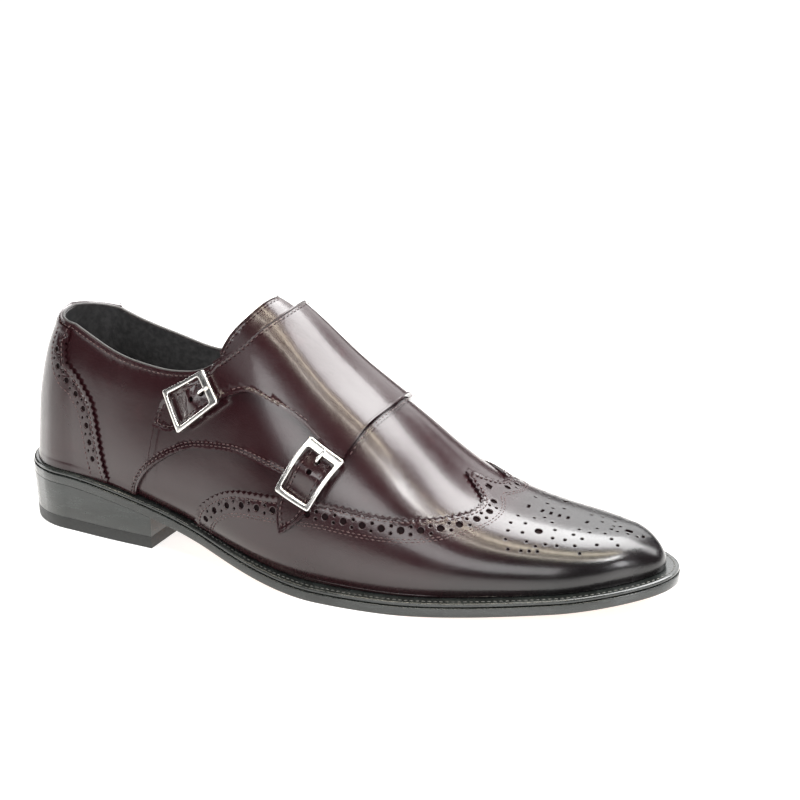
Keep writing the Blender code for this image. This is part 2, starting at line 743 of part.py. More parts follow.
def arm_outline(name):
    """Round an arm's end, from its front or lower edge to its rear or upper edge."""
    half = ARM_WIDTH / 2
    neck, shoulder = BUCKLE_LENGTH / 2 + ARM_NECK, -BUCKLE_LENGTH / 2 - ARM_SHOULDER
    straight = [(along, half) for along in (neck, neck / 2, 0.0, shoulder / 2, shoulder)]
    bow = [(shoulder - ARM_TIP_LENGTH * t, half * (1.0 - t**TIP_ROUNDING)) for t in ARM_TIP_SHARES]
    lower = [(along, -across) for along, across in straight + bow]
    upper = [(along, -across) for along, across in reversed(lower)]
    return arm_points(name, lower + [(shoulder - ARM_TIP_LENGTH, 0.0)] + upper)


def make_monk_strap(material, cutters, collection):
    """The medial quarter and the wide strap are one piece, which splits into two arms over the buckles."""
    start = SEAM_INSET / LAST_LENGTH
    collar = collar_run(start, COLLAR[-1].station, 1.0)
    rear_medial, rear_lateral = seam(STRAP_REAR, 1.0), seam(STRAP_REAR, -1.0)
    outline = joined(
        collar,
        rear_medial,
        rear_lateral[::-1],
        arm_outline("upper")[::-1],
        seam(STRAP_CUTOUT, -1.0),
        arm_outline("lower")[::-1],
        seam(STRAP_FRONT, -1.0)[::-1],
        seam(STRAP_FRONT_MEDIAL, 1.0),
        seam(MEDIAL_LOWER, 1.0)[::-1],
        [(SEAM_INSET, 1.0)],
    )

    def base(station, place):
        return strap_base(station, place) + strap_hump(station, place)

    def top(station, place):
        return base(station, place) + strap_thickness(station, place)

    bm = upper_panel([outline], base, top, extra_cuts=hump_cuts())
    strap = add_object("monk_strap", bm, material, collection)
    for row in BUCKLES:
        punch_prong_hole(strap, row, cutters)
    return strap


def hump_cuts():
    """Cuts across each arm, so that its rise over the centre bar is round."""
    cuts = []
    for row in BUCKLES:
        forward, back = PATCHES[row.name]
        for share in (-1.0, -0.5, 0.0, 0.5, 1.0):
            here, beside = forward(share * HUMP_LENGTH, 0.0), forward(share * HUMP_LENGTH, 1.0)
            point = Vector((here[0], here[1] * FLAT_HALF, 0.0))
            along = Vector((beside[0] - here[0], (beside[1] - here[1]) * FLAT_HALF, 0.0))
            cuts.append((point, along.cross(Vector((0.0, 0.0, 1.0))).normalized(), near_arm(back)))
    return cuts


def near_arm(back):
    def test(centre):
        along, across = back(centre.x, centre.y / FLAT_HALF)
        inside = abs(along) < BUCKLE_LENGTH / 2 + HUMP_CUT_END and abs(across) < ARM_WIDTH / 2 + HUMP_CUT_SIDE
        return centre.y < 0 and inside

    return test


def buckle_place(row, along, across, depth):
    """A point in a buckle's local millimetres, at a depth over the last."""
    forward, _ = PATCHES[row.name]
    station, place = forward(np.asarray(along, float), np.asarray(across, float))
    return skin(station, place, np.asarray(depth, float))


def punch_prong_hole(strap, row, cutters):
    """The round hole in an arm that the prong comes up through, just ahead of the centre bar."""
    where = prong_root()
    low = buckle_place(row, [where], [0.0], [0.0])[0]
    high = buckle_place(row, [where], [0.0], [arm_top() * 2.5])[0]
    low, high = (Vector((p[0] - CENTRE[0], p[1] - CENTRE[1], p[2])) * MM for p in (low, high))
    bm = bmesh.new()
    radius = PRONG_HOLE / 2 * MM
    bmesh.ops.create_cone(bm, cap_ends=True, segments=12, radius1=radius, radius2=radius, depth=(high - low).length)
    turn = Vector((0.0, 0.0, 1.0)).rotation_difference(high - low).to_matrix()
    bmesh.ops.rotate(bm, verts=bm.verts, cent=(0.0, 0.0, 0.0), matrix=turn)
    bmesh.ops.translate(bm, verts=bm.verts, vec=(low + high) / 2)
    mesh = bpy.data.meshes.new(f"prong_hole_{row.name}")
    bm.to_mesh(mesh)
    bm.free()
    cutter = bpy.data.objects.new(mesh.name, mesh)
    cutter.hide_render = True
    cutter.display_type = "WIRE"
    cutters.objects.link(cutter)
    cut = strap.modifiers.new(mesh.name, "BOOLEAN")
    cut.operation = "DIFFERENCE"
    cut.object = cutter


def wire(name, points, diameter, collection, closed=False):
    """A round bar through the points, as a closed mesh in local millimetres."""
    curve = bpy.data.curves.new(name, "CURVE")
    curve.dimensions = "3D"
    curve.bevel_depth = diameter / 2
    curve.bevel_resolution = 1
    curve.use_fill_caps = True
    spline = curve.splines.new("POLY")
    spline.points.add(len(points) - 1)
    for target, point in zip(spline.points, points):
        target.co = (*point, 1.0)
    spline.use_cyclic_u = closed
    holder = bpy.data.objects.new(name, curve)
    collection.objects.link(holder)
    bpy.context.view_layer.update()
    evaluated = holder.evaluated_get(bpy.context.evaluated_depsgraph_get())
    mesh = bpy.data.meshes.new_from_object(evaluated)
    bpy.data.objects.remove(holder)
    bm = bmesh.new()
    bm.from_mesh(mesh)
    bmesh.ops.remove_doubles(bm, verts=bm.verts, dist=WELD)
    bm.to_mesh(mesh)
    bm.free()
    return mesh


def bend_to_last(mesh, row):
    """Bends a mesh in a buckle's local millimetres onto the last, with its z as the depth."""
    bm = bmesh.new()
    bm.from_mesh(mesh)
    local = np.array([vert.co for vert in bm.verts])
    for vert, place in zip(bm.verts, buckle_place(row, local[:, 0], local[:, 1], local[:, 2])):
        vert.co = place
    bmesh.ops.recalc_face_normals(bm, faces=bm.faces)
    return bm


def frame_level():
    return arm_top() + LAYER_GAP + BAR_DIAMETER / 2


def bar_level():
    return LAYER_GAP + OVERLAY_THICKNESS + LAYER_GAP + CENTRE_BAR_DIAMETER / 2


def frame_path():
    """Middle line of the buckle's frame, a rectangle with round corners."""
    reach, side = BUCKLE_LENGTH / 2 - BAR_DIAMETER / 2, BUCKLE_WIDTH / 2 - BAR_DIAMETER / 2
    points = []
    for i, (sx, sy) in enumerate(((1, 1), (-1, 1), (-1, -1), (1, -1))):
        centre = (sx * (reach - BUCKLE_CORNER), sy * (side - BUCKLE_CORNER))
        for step in range(CORNER_STEPS + 1):
            turn = math.pi / 2 * (i + step / CORNER_STEPS)
            points.append((centre[0] + BUCKLE_CORNER * math.cos(turn), centre[1] + BUCKLE_CORNER * math.sin(turn)))
        if i in (0, 2):
            points += [(BAR_THIRD * sx * reach, sy * side), (-BAR_THIRD * sx * reach, sy * side)]
        else:
            points.append((sx * reach, 0.0))
    return [(x, y, frame_level()) for x, y in points]


def make_buckle(row, material, collection):
    """Frame and dropped centre bar, one casting."""
    frame = wire(f"frame_{row.name}", frame_path(), BAR_DIAMETER, collection, closed=True)
    side = BUCKLE_WIDTH / 2 - BAR_DIAMETER / 2
    high, low = frame_level(), bar_level()
    post = [(0.0, -side, high), (0.0, -side, low), (0.0, side, low), (0.0, side, high)]
    bar = wire(f"bar_{row.name}", post, CENTRE_BAR_DIAMETER, collection)
    frame_object = bpy.data.objects.new(f"frame_{row.name}", frame)
    bar_object = bpy.data.objects.new(f"bar_{row.name}", bar)
    collection.objects.link(frame_object)
    collection.objects.link(bar_object)
    union = frame_object.modifiers.new("centre_bar", "BOOLEAN")
    union.operation = "UNION"
    union.object = bar_object
    bpy.context.view_layer.update()
    evaluated = frame_object.evaluated_get(bpy.context.evaluated_depsgraph_get())
    joined_mesh = bpy.data.meshes.new_from_object(evaluated)
    bpy.data.objects.remove(frame_object)
    bpy.data.objects.remove(bar_object)
    return add_object(f"buckle_{row.name}", bend_to_last(joined_mesh, row), material, collection)


def prong_root():
    return CENTRE_BAR_DIAMETER / 2 + PRONG_DIAMETER / 2 + LAYER_GAP


def make_prong(row, material, collection):
    """The prong rises through the arm's hole ahead of the centre bar and lies across the front bar."""
    root, reach = prong_root(), BUCKLE_LENGTH / 2
    top = frame_level() + BAR_DIAMETER / 2 + FIT_GAP + PRONG_DIAMETER / 2
    points = [
        (root, 0.0, bar_level()),
        (root, 0.0, top - PRONG_BEND),
        (root + PRONG_BEND, 0.0, top),
        (reach * PRONG_MIDDLE, 0.0, top),
        (reach + PRONG_OVERHANG, 0.0, top),
    ]
    mesh = wire(f"prong_{row.name}", points, PRONG_DIAMETER, collection)
    return add_object(f"prong_{row.name}", bend_to_last(mesh, row), material, collection)


def make_outsole(material, collection):
    bm = plan_slab(sole_ring(sole_margin), underside, lambda x: underside(x) + OUTSOLE_THICKNESS)
    return add_object("outsole", bm, material, collection)


def welt_inner_margin(station):
    return -UPPER_WALL - FIT_GAP - allowance(station, 1.0)


def make_welt(material, collection):
    """A strip all round, between the outsole's edge and the insole, that the upper stands on."""
    bm = bmesh.new()
    rings = []
    for outline in (sole_ring(sole_margin), sole_ring(welt_inner_margin)):
        verts = [bm.verts.new((x, y, 0.0)) for x, y in outline]
        rings += [bm.edges.new((verts[i - 1], verts[i])) for i in range(len(verts))]
    bmesh.ops.bridge_loops(bm, edges=rings)
    bmesh.ops.triangulate(bm, faces=bm.faces)
    flat = bm.faces[:]
    lifted = bmesh.ops.extrude_face_region(bm, geom=flat, use_keep_orig=True)["geom"]
    lifted = [item for item in lifted if isinstance(item, bmesh.types.BMVert)]
    bmesh.ops.reverse_faces(bm, faces=flat)
    for vert in bm.verts:
        vert.co.z = float(underside(vert.co.x)) + OUTSOLE_THICKNESS + FIT_GAP
    bmesh.ops.translate(bm, verts=lifted, vec=(0.0, 0.0, WELT_THICKNESS))
    bmesh.ops.recalc_face_normals(bm, faces=bm.faces)
    return add_object("welt", bm, material, collection)


def make_insole(material, collection):
    outline = sole_ring(lambda station: welt_inner_margin(station) - FIT_GAP - LAYER_GAP)

    def bottom(x):
        return underside(x) + OUTSOLE_THICKNESS + FIT_GAP

    bm = plan_slab(outline, bottom, lambda x: bottom(x) + INSOLE_THICKNESS)
    return add_object("insole", bm, material, collection)


def heel_outline():
    """The rear of the sole's outline, closed by the straight breast."""
    ring = sole_ring(sole_margin)
    half = len(ring) // 2
    lateral = [point for point in ring[: half + 1] if point[0] < HEEL_LENGTH]
    medial = [point for point in ring[half + 1 :] if point[0] < HEEL_LENGTH]
    sides = []
    for side in (-1.0, 1.0):
        _, y = edge_point(HEEL_LENGTH, side, float(sole_margin(HEEL_LENGTH)))
        sides.append((HEEL_LENGTH, float(y)))
    return lateral + sides + medial


def heel_taper(low, high):
    """Draws the heel in towards the ground, from nothing under the outsole to HEEL_TAPER at the floor."""
    middle_x, middle_y = HEEL_LENGTH / 2, float(centre_line(HEEL_LENGTH / 2))

    def taper(x, y, above):
        level = np.where(above, high, low)
        shrink = 1.0 - HEEL_TAPER * level / np.hypot(HEEL_LENGTH / 2, BALL_WIDTH / 3)
        return middle_x + (x - middle_x) * shrink, middle_y + (y - middle_y) * shrink

    return taper


def make_heel_block(material, collection):
    seat = TOP_PIECE_THICKNESS + FIT_GAP
    share = 1.0 - seat / HEEL_HEIGHT
    bm = plan_slab(heel_outline(), lambda x: np.full(np.shape(x), seat), lambda x: underside(x) - FIT_GAP,
                   heel_taper(share, 0.0))
    return add_object("heel_block", bm, material, collection)


def make_top_piece(material, collection):
    share = 1.0 - TOP_PIECE_THICKNESS / HEEL_HEIGHT
    bm = plan_slab(heel_outline(), lambda x: np.zeros(np.shape(x)),
                   lambda x: np.full(np.shape(x), TOP_PIECE_THICKNESS), heel_taper(1.0, share))
    return add_object("top_piece", bm, material, collection)


def main():
    for item in list(bpy.data.objects):
        bpy.data.objects.remove(item)
    shoe = bpy.data.collections.new("monk_strap_shoe")
    cutters = bpy.data.collections.new("cutters")
    for collection in (shoe, cutters):
        bpy.context.scene.collection.children.link(collection)
    oxblood = make_material("oxblood_leather", (0.075, 0.016, 0.022), 0.22)
    lining = make_material("black_lining", (0.012, 0.011, 0.012), 0.55)
    black_edge = make_material("black_sole_edge", (0.012, 0.013, 0.013), 0.30)
    tan_sole = make_material("tan_sole_leather", (0.55, 0.30, 0.14), 0.45)
    rubber = make_material("black_rubber", (0.015, 0.016, 0.016), 0.45)
    nickel = make_material("polished_nickel", (0.72, 0.70, 0.67), 0.12, 1.0)
    make_outsole(tan_sole, shoe)
    make_welt(black_edge, shoe)
    make_heel_block(black_edge, shoe)
    make_top_piece(rubber, shoe)
    make_insole(lining, shoe)
    make_upper(oxblood, shoe)
    make_tongue(oxblood, shoe)
    make_wing_tip(oxblood, shoe)
    make_quarter_lateral(oxblood, shoe)
    make_monk_strap(oxblood, cutters, shoe)
    make_counter(oxblood, shoe)
    for row in BUCKLES:
        make_buckle(row, nickel, shoe)
        make_prong(row, nickel, shoe)


main()
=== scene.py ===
"""The looks of the monk strap shoe: leather panels, brogue holes, stitches, buckles and sole.

The panels are drawn on the same flat pattern as the CAD ones and bent over the same last. Sizes are in
millimetres in the last's frame until a mesh is finished. A station runs from 0 at the heel's back to
LAST_LENGTH at the toe. A place runs from -1 at the lateral feather line over 0 at the crown to 1 at the
medial one. The rise is the share of the way up to the crown. A depth is measured outwards from the last.
"""

import math
from collections import namedtuple

import bmesh
import bpy
import numpy as np
from mathutils import Matrix, Vector


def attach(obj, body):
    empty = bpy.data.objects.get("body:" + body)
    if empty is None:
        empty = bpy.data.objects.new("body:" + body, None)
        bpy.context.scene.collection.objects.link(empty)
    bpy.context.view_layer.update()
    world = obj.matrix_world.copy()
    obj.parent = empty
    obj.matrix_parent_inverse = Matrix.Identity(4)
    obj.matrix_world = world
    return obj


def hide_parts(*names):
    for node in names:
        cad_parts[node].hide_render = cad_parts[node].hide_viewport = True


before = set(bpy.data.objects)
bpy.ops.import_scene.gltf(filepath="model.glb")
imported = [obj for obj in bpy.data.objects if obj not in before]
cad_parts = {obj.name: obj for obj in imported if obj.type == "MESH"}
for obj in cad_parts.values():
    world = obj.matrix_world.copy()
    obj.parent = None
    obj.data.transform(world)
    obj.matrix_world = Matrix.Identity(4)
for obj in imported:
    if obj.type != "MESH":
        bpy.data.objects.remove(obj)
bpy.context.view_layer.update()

MM = 0.001
GAP = 0.3

# Last
LAST_LENGTH = 296.0
BALL_WIDTH = 88.0
INSTEP_HEIGHT = 102.0
HEEL_HEIGHT = 21.8
TOE_SPRING = 8.9
HEEL_ROUND = 31.0
TOE_ROUND = 37.5
TOE_CAP_ROUND = 19.0
SIDE_BULGE = 4.0
BULGE_HEIGHT = 16.0
BACK_LEAN = 11.0
COLLAR_NARROWING = 0.25
LEAN_HEIGHT = 62.0
NECK_REAR = 0.10
NECK_FRONT = 0.36
SEAT_FRONT = 0.08
TREAD_REAR = 0.55
TREAD_FRONT = 0.66
SPRING_POWER = 1.45
TIP_LENGTH = 18.0
HEEL_POWER = 2.15
TOE_POWER = 2.0
TOE_CAP_POWER = 2.3

# Sole, heel and leather
OUTSOLE = 4.0
WELT = 1.7
INSOLE = 3.0
MARGIN_FRONT = 5.4
MARGIN_HEEL = 2.1
MARGIN_WIDENS_FROM = 0.35
MARGIN_WIDENS_OVER = 0.2
HEEL_LENGTH = 76.0
HEEL_TAPER = 1.0
TOP_PIECE = 5.7
WALL = 1.6
OVERLAY = 1.15
STRAP = 1.8
TONGUE = 1.6
LAYER = 0.55
SIDE_ALLOWANCE = 1.5
HEEL_ALLOWANCE = 1.2
ALLOWANCE_RISE = 0.5
ALLOWANCE_REAR = 0.16
ALLOWANCE_FRONT = 0.28
ON_LAST = LAYER + OVERLAY
ON_QUARTER = LAYER + OVERLAY + LAYER
COUNTER_OUTER = ON_LAST + 0.8
WING_OUTER = 1.05
SNUG = 0.5
SKIVE_WIDTH = 0.07
SKIVED = 0.35

# Straps and buckles
ARM_WIDTH = 13.2
ARM_NECK = 1.0
ARM_SHOULDER = 1.5
ARM_TIP_LENGTH = 11.5
TIP_ROUNDING = 1.7
TIP_INSET = 1.6
ARM_STEPS = 8
ARM_TIP_SHARES = (0.15, 0.3, 0.45, 0.6, 0.72, 0.84, 0.94)
BUCKLE_LENGTH = 24.4
BUCKLE_WIDTH = 17.4
CENTRE_BAR = 1.5
HUMP_LENGTH = 8.5
STRAP_LIFT_TOP = 0.86
STRAP_LIFT_FULL = 0.66
STRAP_THIN_STATION = 0.31
STRAP_FULL_STATION = 0.44
FRAME_LOW = ON_QUARTER + STRAP + LAYER
FRAME_HIGH = FRAME_LOW + 2.0
FRONT_BAR = 3.6
SIDE_BAR = 1.9
REAR_BAR = 2.2
CORNER_ROUND = 1.1
RIM_ROUND = 0.8
POST_TOP = FRAME_HIGH - 0.6
PRONG_AT = 5.6
PRONG_TOP = FRAME_HIGH + 0.65
PRONG_RADIUS = 0.72
PRONG_SIDES = 12
PRONG_END = 0.75
PRONG_HOLE = 1.0
SPARE_HOLE_AT = 0.6

LastRow = namedtuple("LastRow", "station half_width centre ridge crown flare bulge")
LAST_ROWS = (
    LastRow(0.10, 0.344, 0.017, 0.017, 1.690, 1.01, -0.28),
    LastRow(0.20, 0.340, -0.015, 0.000, 1.420, 1.00, 0.58),
    LastRow(0.31, 0.334, -0.045, 0.011, 1.063, 1.00, 1.00),
    LastRow(0.42, 0.388, -0.075, 0.026, 1.005, 0.94, 1.00),
    LastRow(0.53, 0.457, -0.069, 0.034, 0.794, 0.90, 0.75),
    LastRow(0.63, 0.495, -0.027, 0.031, 0.575, 0.86, 0.50),
    LastRow(0.73, 0.486, 0.023, 0.027, 0.333, 0.80, 0.45),
    LastRow(0.85, 0.399, 0.059, 0.045, 0.201, 0.77, 0.30),
    LastRow(1.00, 0.243, 0.077, 0.077, 0.122, 0.81, 0.13),
)


def rows(*pairs):
    """Points of a seam, from shares of LAST_LENGTH and rises."""
    return tuple((share * LAST_LENGTH, rise) for share, rise in pairs)


COLLAR = rows(
    (0, 0.262), (0.05, 0.257), (0.1, 0.251), (0.147, 0.252), (0.184, 0.262), (0.218, 0.285), (0.251, 0.321),
    (0.282, 0.363), (0.314, 0.413), (0.343, 0.460), (0.360, 0.497),
)
COLLAR_MEDIAL = rows(
    (0, 0.262), (0.05, 0.251), (0.1, 0.241), (0.152, 0.243), (0.195, 0.258), (0.237, 0.285), (0.272, 0.320),
    (0.305, 0.372), (0.335, 0.433), (0.360, 0.497),
)
THROAT = rows(
    (0.390, 0.570), (0.435, 0.690), (0.485, 0.840), (0.512, 1.000),
)
TONGUE_REAR = rows(
    (0.415, 1.000), (0.406, 0.852), (0.390, 0.723), (0.371, 0.612), (0.362, 0.542),
)
TONGUE_SIDE = rows(
    (0.362, 0.542), (0.385, 0.460), (0.450, 0.480), (0.540, 0.580), (0.590, 0.780), (0.600, 1.0),
)
STRAP_REAR = rows(
    (0.373, 0.510), (0.399, 0.585), (0.418, 0.669), (0.434, 0.785), (0.445, 0.930), (0.446, 1.0),
)
STRAP_FRONT = rows(
    (0.603, 1.000), (0.600, 0.890), (0.592, 0.740), (0.583, 0.600), (0.578, 0.535),
)
STRAP_FRONT_MEDIAL = rows(
    (0.603, 1.000), (0.597, 0.800), (0.585, 0.600), (0.562, 0.375),
)
STRAP_CUTOUT = rows(
    (0.408, 0.445), (0.426, 0.475), (0.443, 0.488), (0.468, 0.502), (0.494, 0.518), (0.516, 0.525),
)
QUARTER_LOWER = rows(
    (0.226, 0), (0.245, 0.057), (0.272, 0.115), (0.304, 0.174), (0.337, 0.222), (0.380, 0.257),
    (0.420, 0.282), (0.450, 0.294), (0.490, 0.313), (0.520, 0.330),
)
QUARTER_FRONT = rows(
    (0.520, 0.330), (0.540, 0.400), (0.556, 0.500), (0.550, 0.580), (0.500, 0.630), (0.440, 0.640),
    (0.390, 0.575), (0.362, 0.505),
)
MEDIAL_LOWER = rows(
    (0.226, 0), (0.245, 0.057), (0.272, 0.117), (0.304, 0.173), (0.335, 0.220), (0.390, 0.278),
    (0.460, 0.326), (0.562, 0.375),
)
WING_TOP = rows(
    (0.338, 0), (0.345, 0.040), (0.360, 0.085), (0.379, 0.122), (0.407, 0.160), (0.458, 0.203),
    (0.510, 0.254), (0.560, 0.305), (0.618, 0.352), (0.666, 0.430), (0.710, 0.567), (0.732, 0.680),
    (0.747, 0.800), (0.748, 0.900), (0.732, 0.960), (0.709, 1.000),
)
COUNTER_FRONT = rows(
    (0.174, 0), (0.169, 0.037), (0.163, 0.074), (0.156, 0.109), (0.151, 0.132), (0.138, 0.149),
    (0.122, 0.166), (0.103, 0.177), (0.094, 0.197), (0.093, 0.217), (0.099, 0.237), (0.111, 0.252),
)

BuckleRow = namedtuple("BuckleRow", "name station rise angle")
BUCKLES = (
    BuckleRow("upper", 0.340 * LAST_LENGTH, 0.363, 56.0),
    BuckleRow("lower", 0.538 * LAST_LENGTH, 0.385, 88.0),
)

# Flat pattern: the net's steps, and how far the last stretch to the toe's tip is drawn out
STATION_STEP = 2.4
FLAT_HALF = 60.0
# The net's lines lie closer towards the feather line, because the walls stand high at the heel.
PLACE_BANDS = ((0.1, 20.0, 2.0), (20.0, 42.0, 1.3), (42.0, 60.0, 0.8))
PLACE_LINES = [
    side * place
    for low, high, step in PLACE_BANDS
    for place in np.arange(low, high, step)
    for side in (-1, 1)
]
POINT_GAP = 0.2
TIP_STRETCH = 2.0
FLAT_END = LAST_LENGTH + TIP_LENGTH * (TIP_STRETCH - 1.0)
EDGE_ROUND = 0.45
EDGE_SUPPORT = 0.3
EDGE_DROP = 0.3
UPPER_DROP = 0.35
HOLE_LIP = 0.26
RIM_LEVEL = 0.75
# Hole walls below this level take the hole's near-black material, which is painted shade.
PAINTED_SHADE_LEVEL = 0.5
FLOOR_LEVEL = 0.1
FLOOR_SHARE = 0.96
LARGE_FROM = 0.8
LARGE_SIDES = 14
SMALL_SIDES = 8
TOOTH_PITCH = 2.9
TOOTH_DEPTH = 1.15
STITCH_PITCH = 2.3
STITCH_LENGTH = 1.75
STITCH_WIDTH = 0.5
BATCH = 40
SEAM_INSET = 0.2
RING_STEP = 2.2
TIP_POINTS = 16
SEAM_STEP = 3.0
LINE_STEP = 2.0
PLAN_STEP = 6.0
ALONG = Vector((1.0, 0.0, 0.0))
ACROSS = Vector((0.0, 1.0, 0.0))
VERT, EDGE, FACE = bmesh.types.BMVert, bmesh.types.BMEdge, bmesh.types.BMFace


def natural_spline(xs, ys):
    """A natural cubic through the points, as a function of arrays."""
    xs, ys = np.asarray(xs, float), np.asarray(ys, float)
    count, gaps = len(xs), np.diff(xs)
    matrix, right = np.zeros((count, count)), np.zeros(count)
    matrix[0, 0] = matrix[-1, -1] = 1.0
    for i in range(1, count - 1):
        matrix[i, i - 1 : i + 2] = gaps[i - 1], 2 * (gaps[i - 1] + gaps[i]), gaps[i]
        right[i] = 6 * ((ys[i + 1] - ys[i]) / gaps[i] - (ys[i] - ys[i - 1]) / gaps[i - 1])
    bend = np.linalg.solve(matrix, right)

    def value(x):
        x = np.asarray(x, float)
        k = np.clip(np.searchsorted(xs, x) - 1, 0, count - 2)
        gap, ahead, behind = gaps[k], xs[k + 1] - x, x - xs[k]
        cubic = (bend[k] * ahead**3 + bend[k + 1] * behind**3) / (6 * gap)
        start = (ys[k] / gap - bend[k] * gap / 6) * ahead
        return cubic + start + (ys[k + 1] / gap - bend[k + 1] * gap / 6) * behind

    return value


def last_column(name, size):
    curve = natural_spline([row.station for row in LAST_ROWS], [getattr(row, name) for row in LAST_ROWS])
    first, final = LAST_ROWS[0].station, LAST_ROWS[-1].station
    return lambda station: size * curve(np.clip(np.asarray(station, float) / LAST_LENGTH, first, final))


half_width = last_column("half_width", BALL_WIDTH)
centre_line = last_column("centre", BALL_WIDTH)
ridge_line = last_column("ridge", BALL_WIDTH)
crown_height = last_column("crown", INSTEP_HEIGHT)
section_flare = last_column("flare", 1.0)
side_bulge = last_column("bulge", SIDE_BULGE)


def smooth_step(value):
    value = np.clip(value, 0.0, 1.0)
    return value * value * (3.0 - 2.0 * value)


def underside(x):
    """Height of the outsole's underside: heel seat, waist, flat tread and toe spring."""
    share = np.asarray(x, float) / LAST_LENGTH
    waist = smooth_step((TREAD_REAR - share) / (TREAD_REAR - SEAT_FRONT))
    spring = np.clip((share - TREAD_FRONT) / (1.0 - TREAD_FRONT), 0.0, None)
    return HEEL_HEIGHT * waist + TOE_SPRING * spring**SPRING_POWER


def feather_height(x):
    return underside(x) + OUTSOLE + WELT + 2 * GAP


def closing(station, length, power):
    share = np.clip((station - LAST_LENGTH + length) / length, 0.0, 1.0)
    return (1.0 - share**power) ** (1.0 / power)


def feather_point(station, side):
    """Plan of the feather line, where the upper meets the welt."""
    station = np.asarray(station, float)
    width = half_width(station) * closing(station, TOE_ROUND, TOE_POWER)
    turn = np.clip(station / HEEL_ROUND, 0.0, 1.0) * math.pi / 2
    along = (np.abs(np.cos(turn)) / HEEL_ROUND) ** HEEL_POWER
    across = (np.abs(np.sin(turn)) / half_width(HEEL_ROUND)) ** HEEL_POWER
    reach = (along + across) ** (-1.0 / HEEL_POWER)
    in_heel = station < HEEL_ROUND
    x = np.where(in_heel, HEEL_ROUND - reach * np.cos(turn), station)
    heel_y = centre_line(HEEL_ROUND) + side * reach * np.sin(turn)
    return x, np.where(in_heel, heel_y, centre_line(station) + side * width)


def plan_normal(station, side):
    station, side = np.broadcast_arrays(np.asarray(station, float), np.asarray(side, float))
    step = 0.05
    x0, y0 = feather_point(np.clip(station - step, 0.0, LAST_LENGTH), side)
    x1, y1 = feather_point(np.clip(station + step, 0.0, LAST_LENGTH), side)
    length = np.hypot(x1 - x0, y1 - y0) + 1e-12
    nx, ny = -(y1 - y0) / length * side, (x1 - x0) / length * side
    at_toe, at_heel = station >= LAST_LENGTH - 1e-6, station <= 1e-6
    nx = np.where(at_toe, 1.0, np.where(at_heel, -1.0, nx))
    return nx, np.where(at_toe | at_heel, 0.0, ny)


def edge_point(station, side, margin):
    x, y = feather_point(station, side)
    nx, ny = plan_normal(station, side)
    return x + nx * margin, y + ny * margin


def sole_margin(station):
    share = np.asarray(station, float) / LAST_LENGTH
    forward = np.clip((share - MARGIN_WIDENS_FROM) / MARGIN_WIDENS_OVER, 0.0, 1.0)
    return MARGIN_HEEL + (MARGIN_FRONT - MARGIN_HEEL) * forward


def last_point(station, across):
    """Points of the last's surface as an array of x, y, z."""
    station, across = np.broadcast_arrays(np.asarray(station, float), np.asarray(across, float))
    side = np.where(across < 0, -1.0, 1.0)
    turn = (1.0 - np.abs(across)) * math.pi / 2
    spine = np.maximum(station, HEEL_ROUND)
    foot_x, foot_y = feather_point(station, side)
    base = feather_height(foot_x)
    height = crown_height(spine) * closing(spine, TOE_CAP_ROUND, TOE_CAP_POWER)
    spread = np.clip(np.cos(turn), 1e-9, 1.0) ** section_flare(spine)
    z = base + height * np.sin(turn)
    lift = (z - base) / BULGE_HEIGHT
    bulge = lift * np.exp(1.0 - lift) * side_bulge(spine)
    nx, ny = plan_normal(station, side)
    behind = np.sin(np.clip(1.0 - station / HEEL_ROUND, 0.0, 1.0) * math.pi / 2)
    high = np.clip((z - base) / LEAN_HEIGHT, 0.0, 1.5) ** 2
    x = spine * (1.0 - spread) + foot_x * spread + nx * bulge + BACK_LEAN * behind * high
    y = ridge_line(spine) * (1.0 - spread) + foot_y * spread + ny * bulge
    rear = smooth_step((NECK_FRONT - station / LAST_LENGTH) / (NECK_FRONT - NECK_REAR))
    y = y + (centre_line(spine) - y) * COLLAR_NARROWING * high * rear
    return np.stack([x, y, z], axis=-1)


def last_normal(station, across):
    station, across = np.broadcast_arrays(np.asarray(station, float), np.asarray(across, float))
    at_back, at_tip = station <= 1e-6, station >= LAST_LENGTH - 1e-3
    across = np.where(at_back, np.abs(across), across)
    step = np.clip((LAST_LENGTH - station) / 2, 0.001, 0.4)
    ahead = np.minimum(station + step, LAST_LENGTH)
    along = last_point(ahead, across) - last_point(np.maximum(station - step, 0.0), across)
    side_step = 0.01
    upper = last_point(station, np.minimum(across + side_step, 1.0))
    over = upper - last_point(station, np.maximum(across - side_step, -1.0))
    normal = np.cross(along, over)
    normal[..., 2] = np.maximum(normal[..., 2], 0.0)
    normal[..., 1] = np.where(at_back | at_tip, 0.0, normal[..., 1])
    normal[at_tip] = 1.0, 0.0, 0.0
    return normal / (np.linalg.norm(normal, axis=-1, keepdims=True) + 1e-12)


def allowance(station, across):
    """How far inside the last's line the layers start at the feather line."""
    station = np.asarray(station, float)
    share, rise = station / LAST_LENGTH, 1.0 - np.abs(across)
    fade = 1.0 - smooth_step(rise / ALLOWANCE_RISE)
    body = smooth_step((LAST_LENGTH - station) / TIP_LENGTH)
    heel = smooth_step((ALLOWANCE_FRONT - share) / (ALLOWANCE_FRONT - ALLOWANCE_REAR))
    return SIDE_ALLOWANCE * (1.0 - body + body * fade) + HEEL_ALLOWANCE * heel * fade


def skin(station, across, depth):
    """Points at a depth over the last's surface, outwards."""
    depth = np.asarray(depth) - allowance(station, across)
    point = last_point(station, across) + last_normal(station, across) * depth[..., None]
    foot_x, _ = feather_point(station, np.where(np.asarray(across) < 0, -1.0, 1.0))
    point[..., 2] = np.maximum(point[..., 2], feather_height(foot_x))
    return point


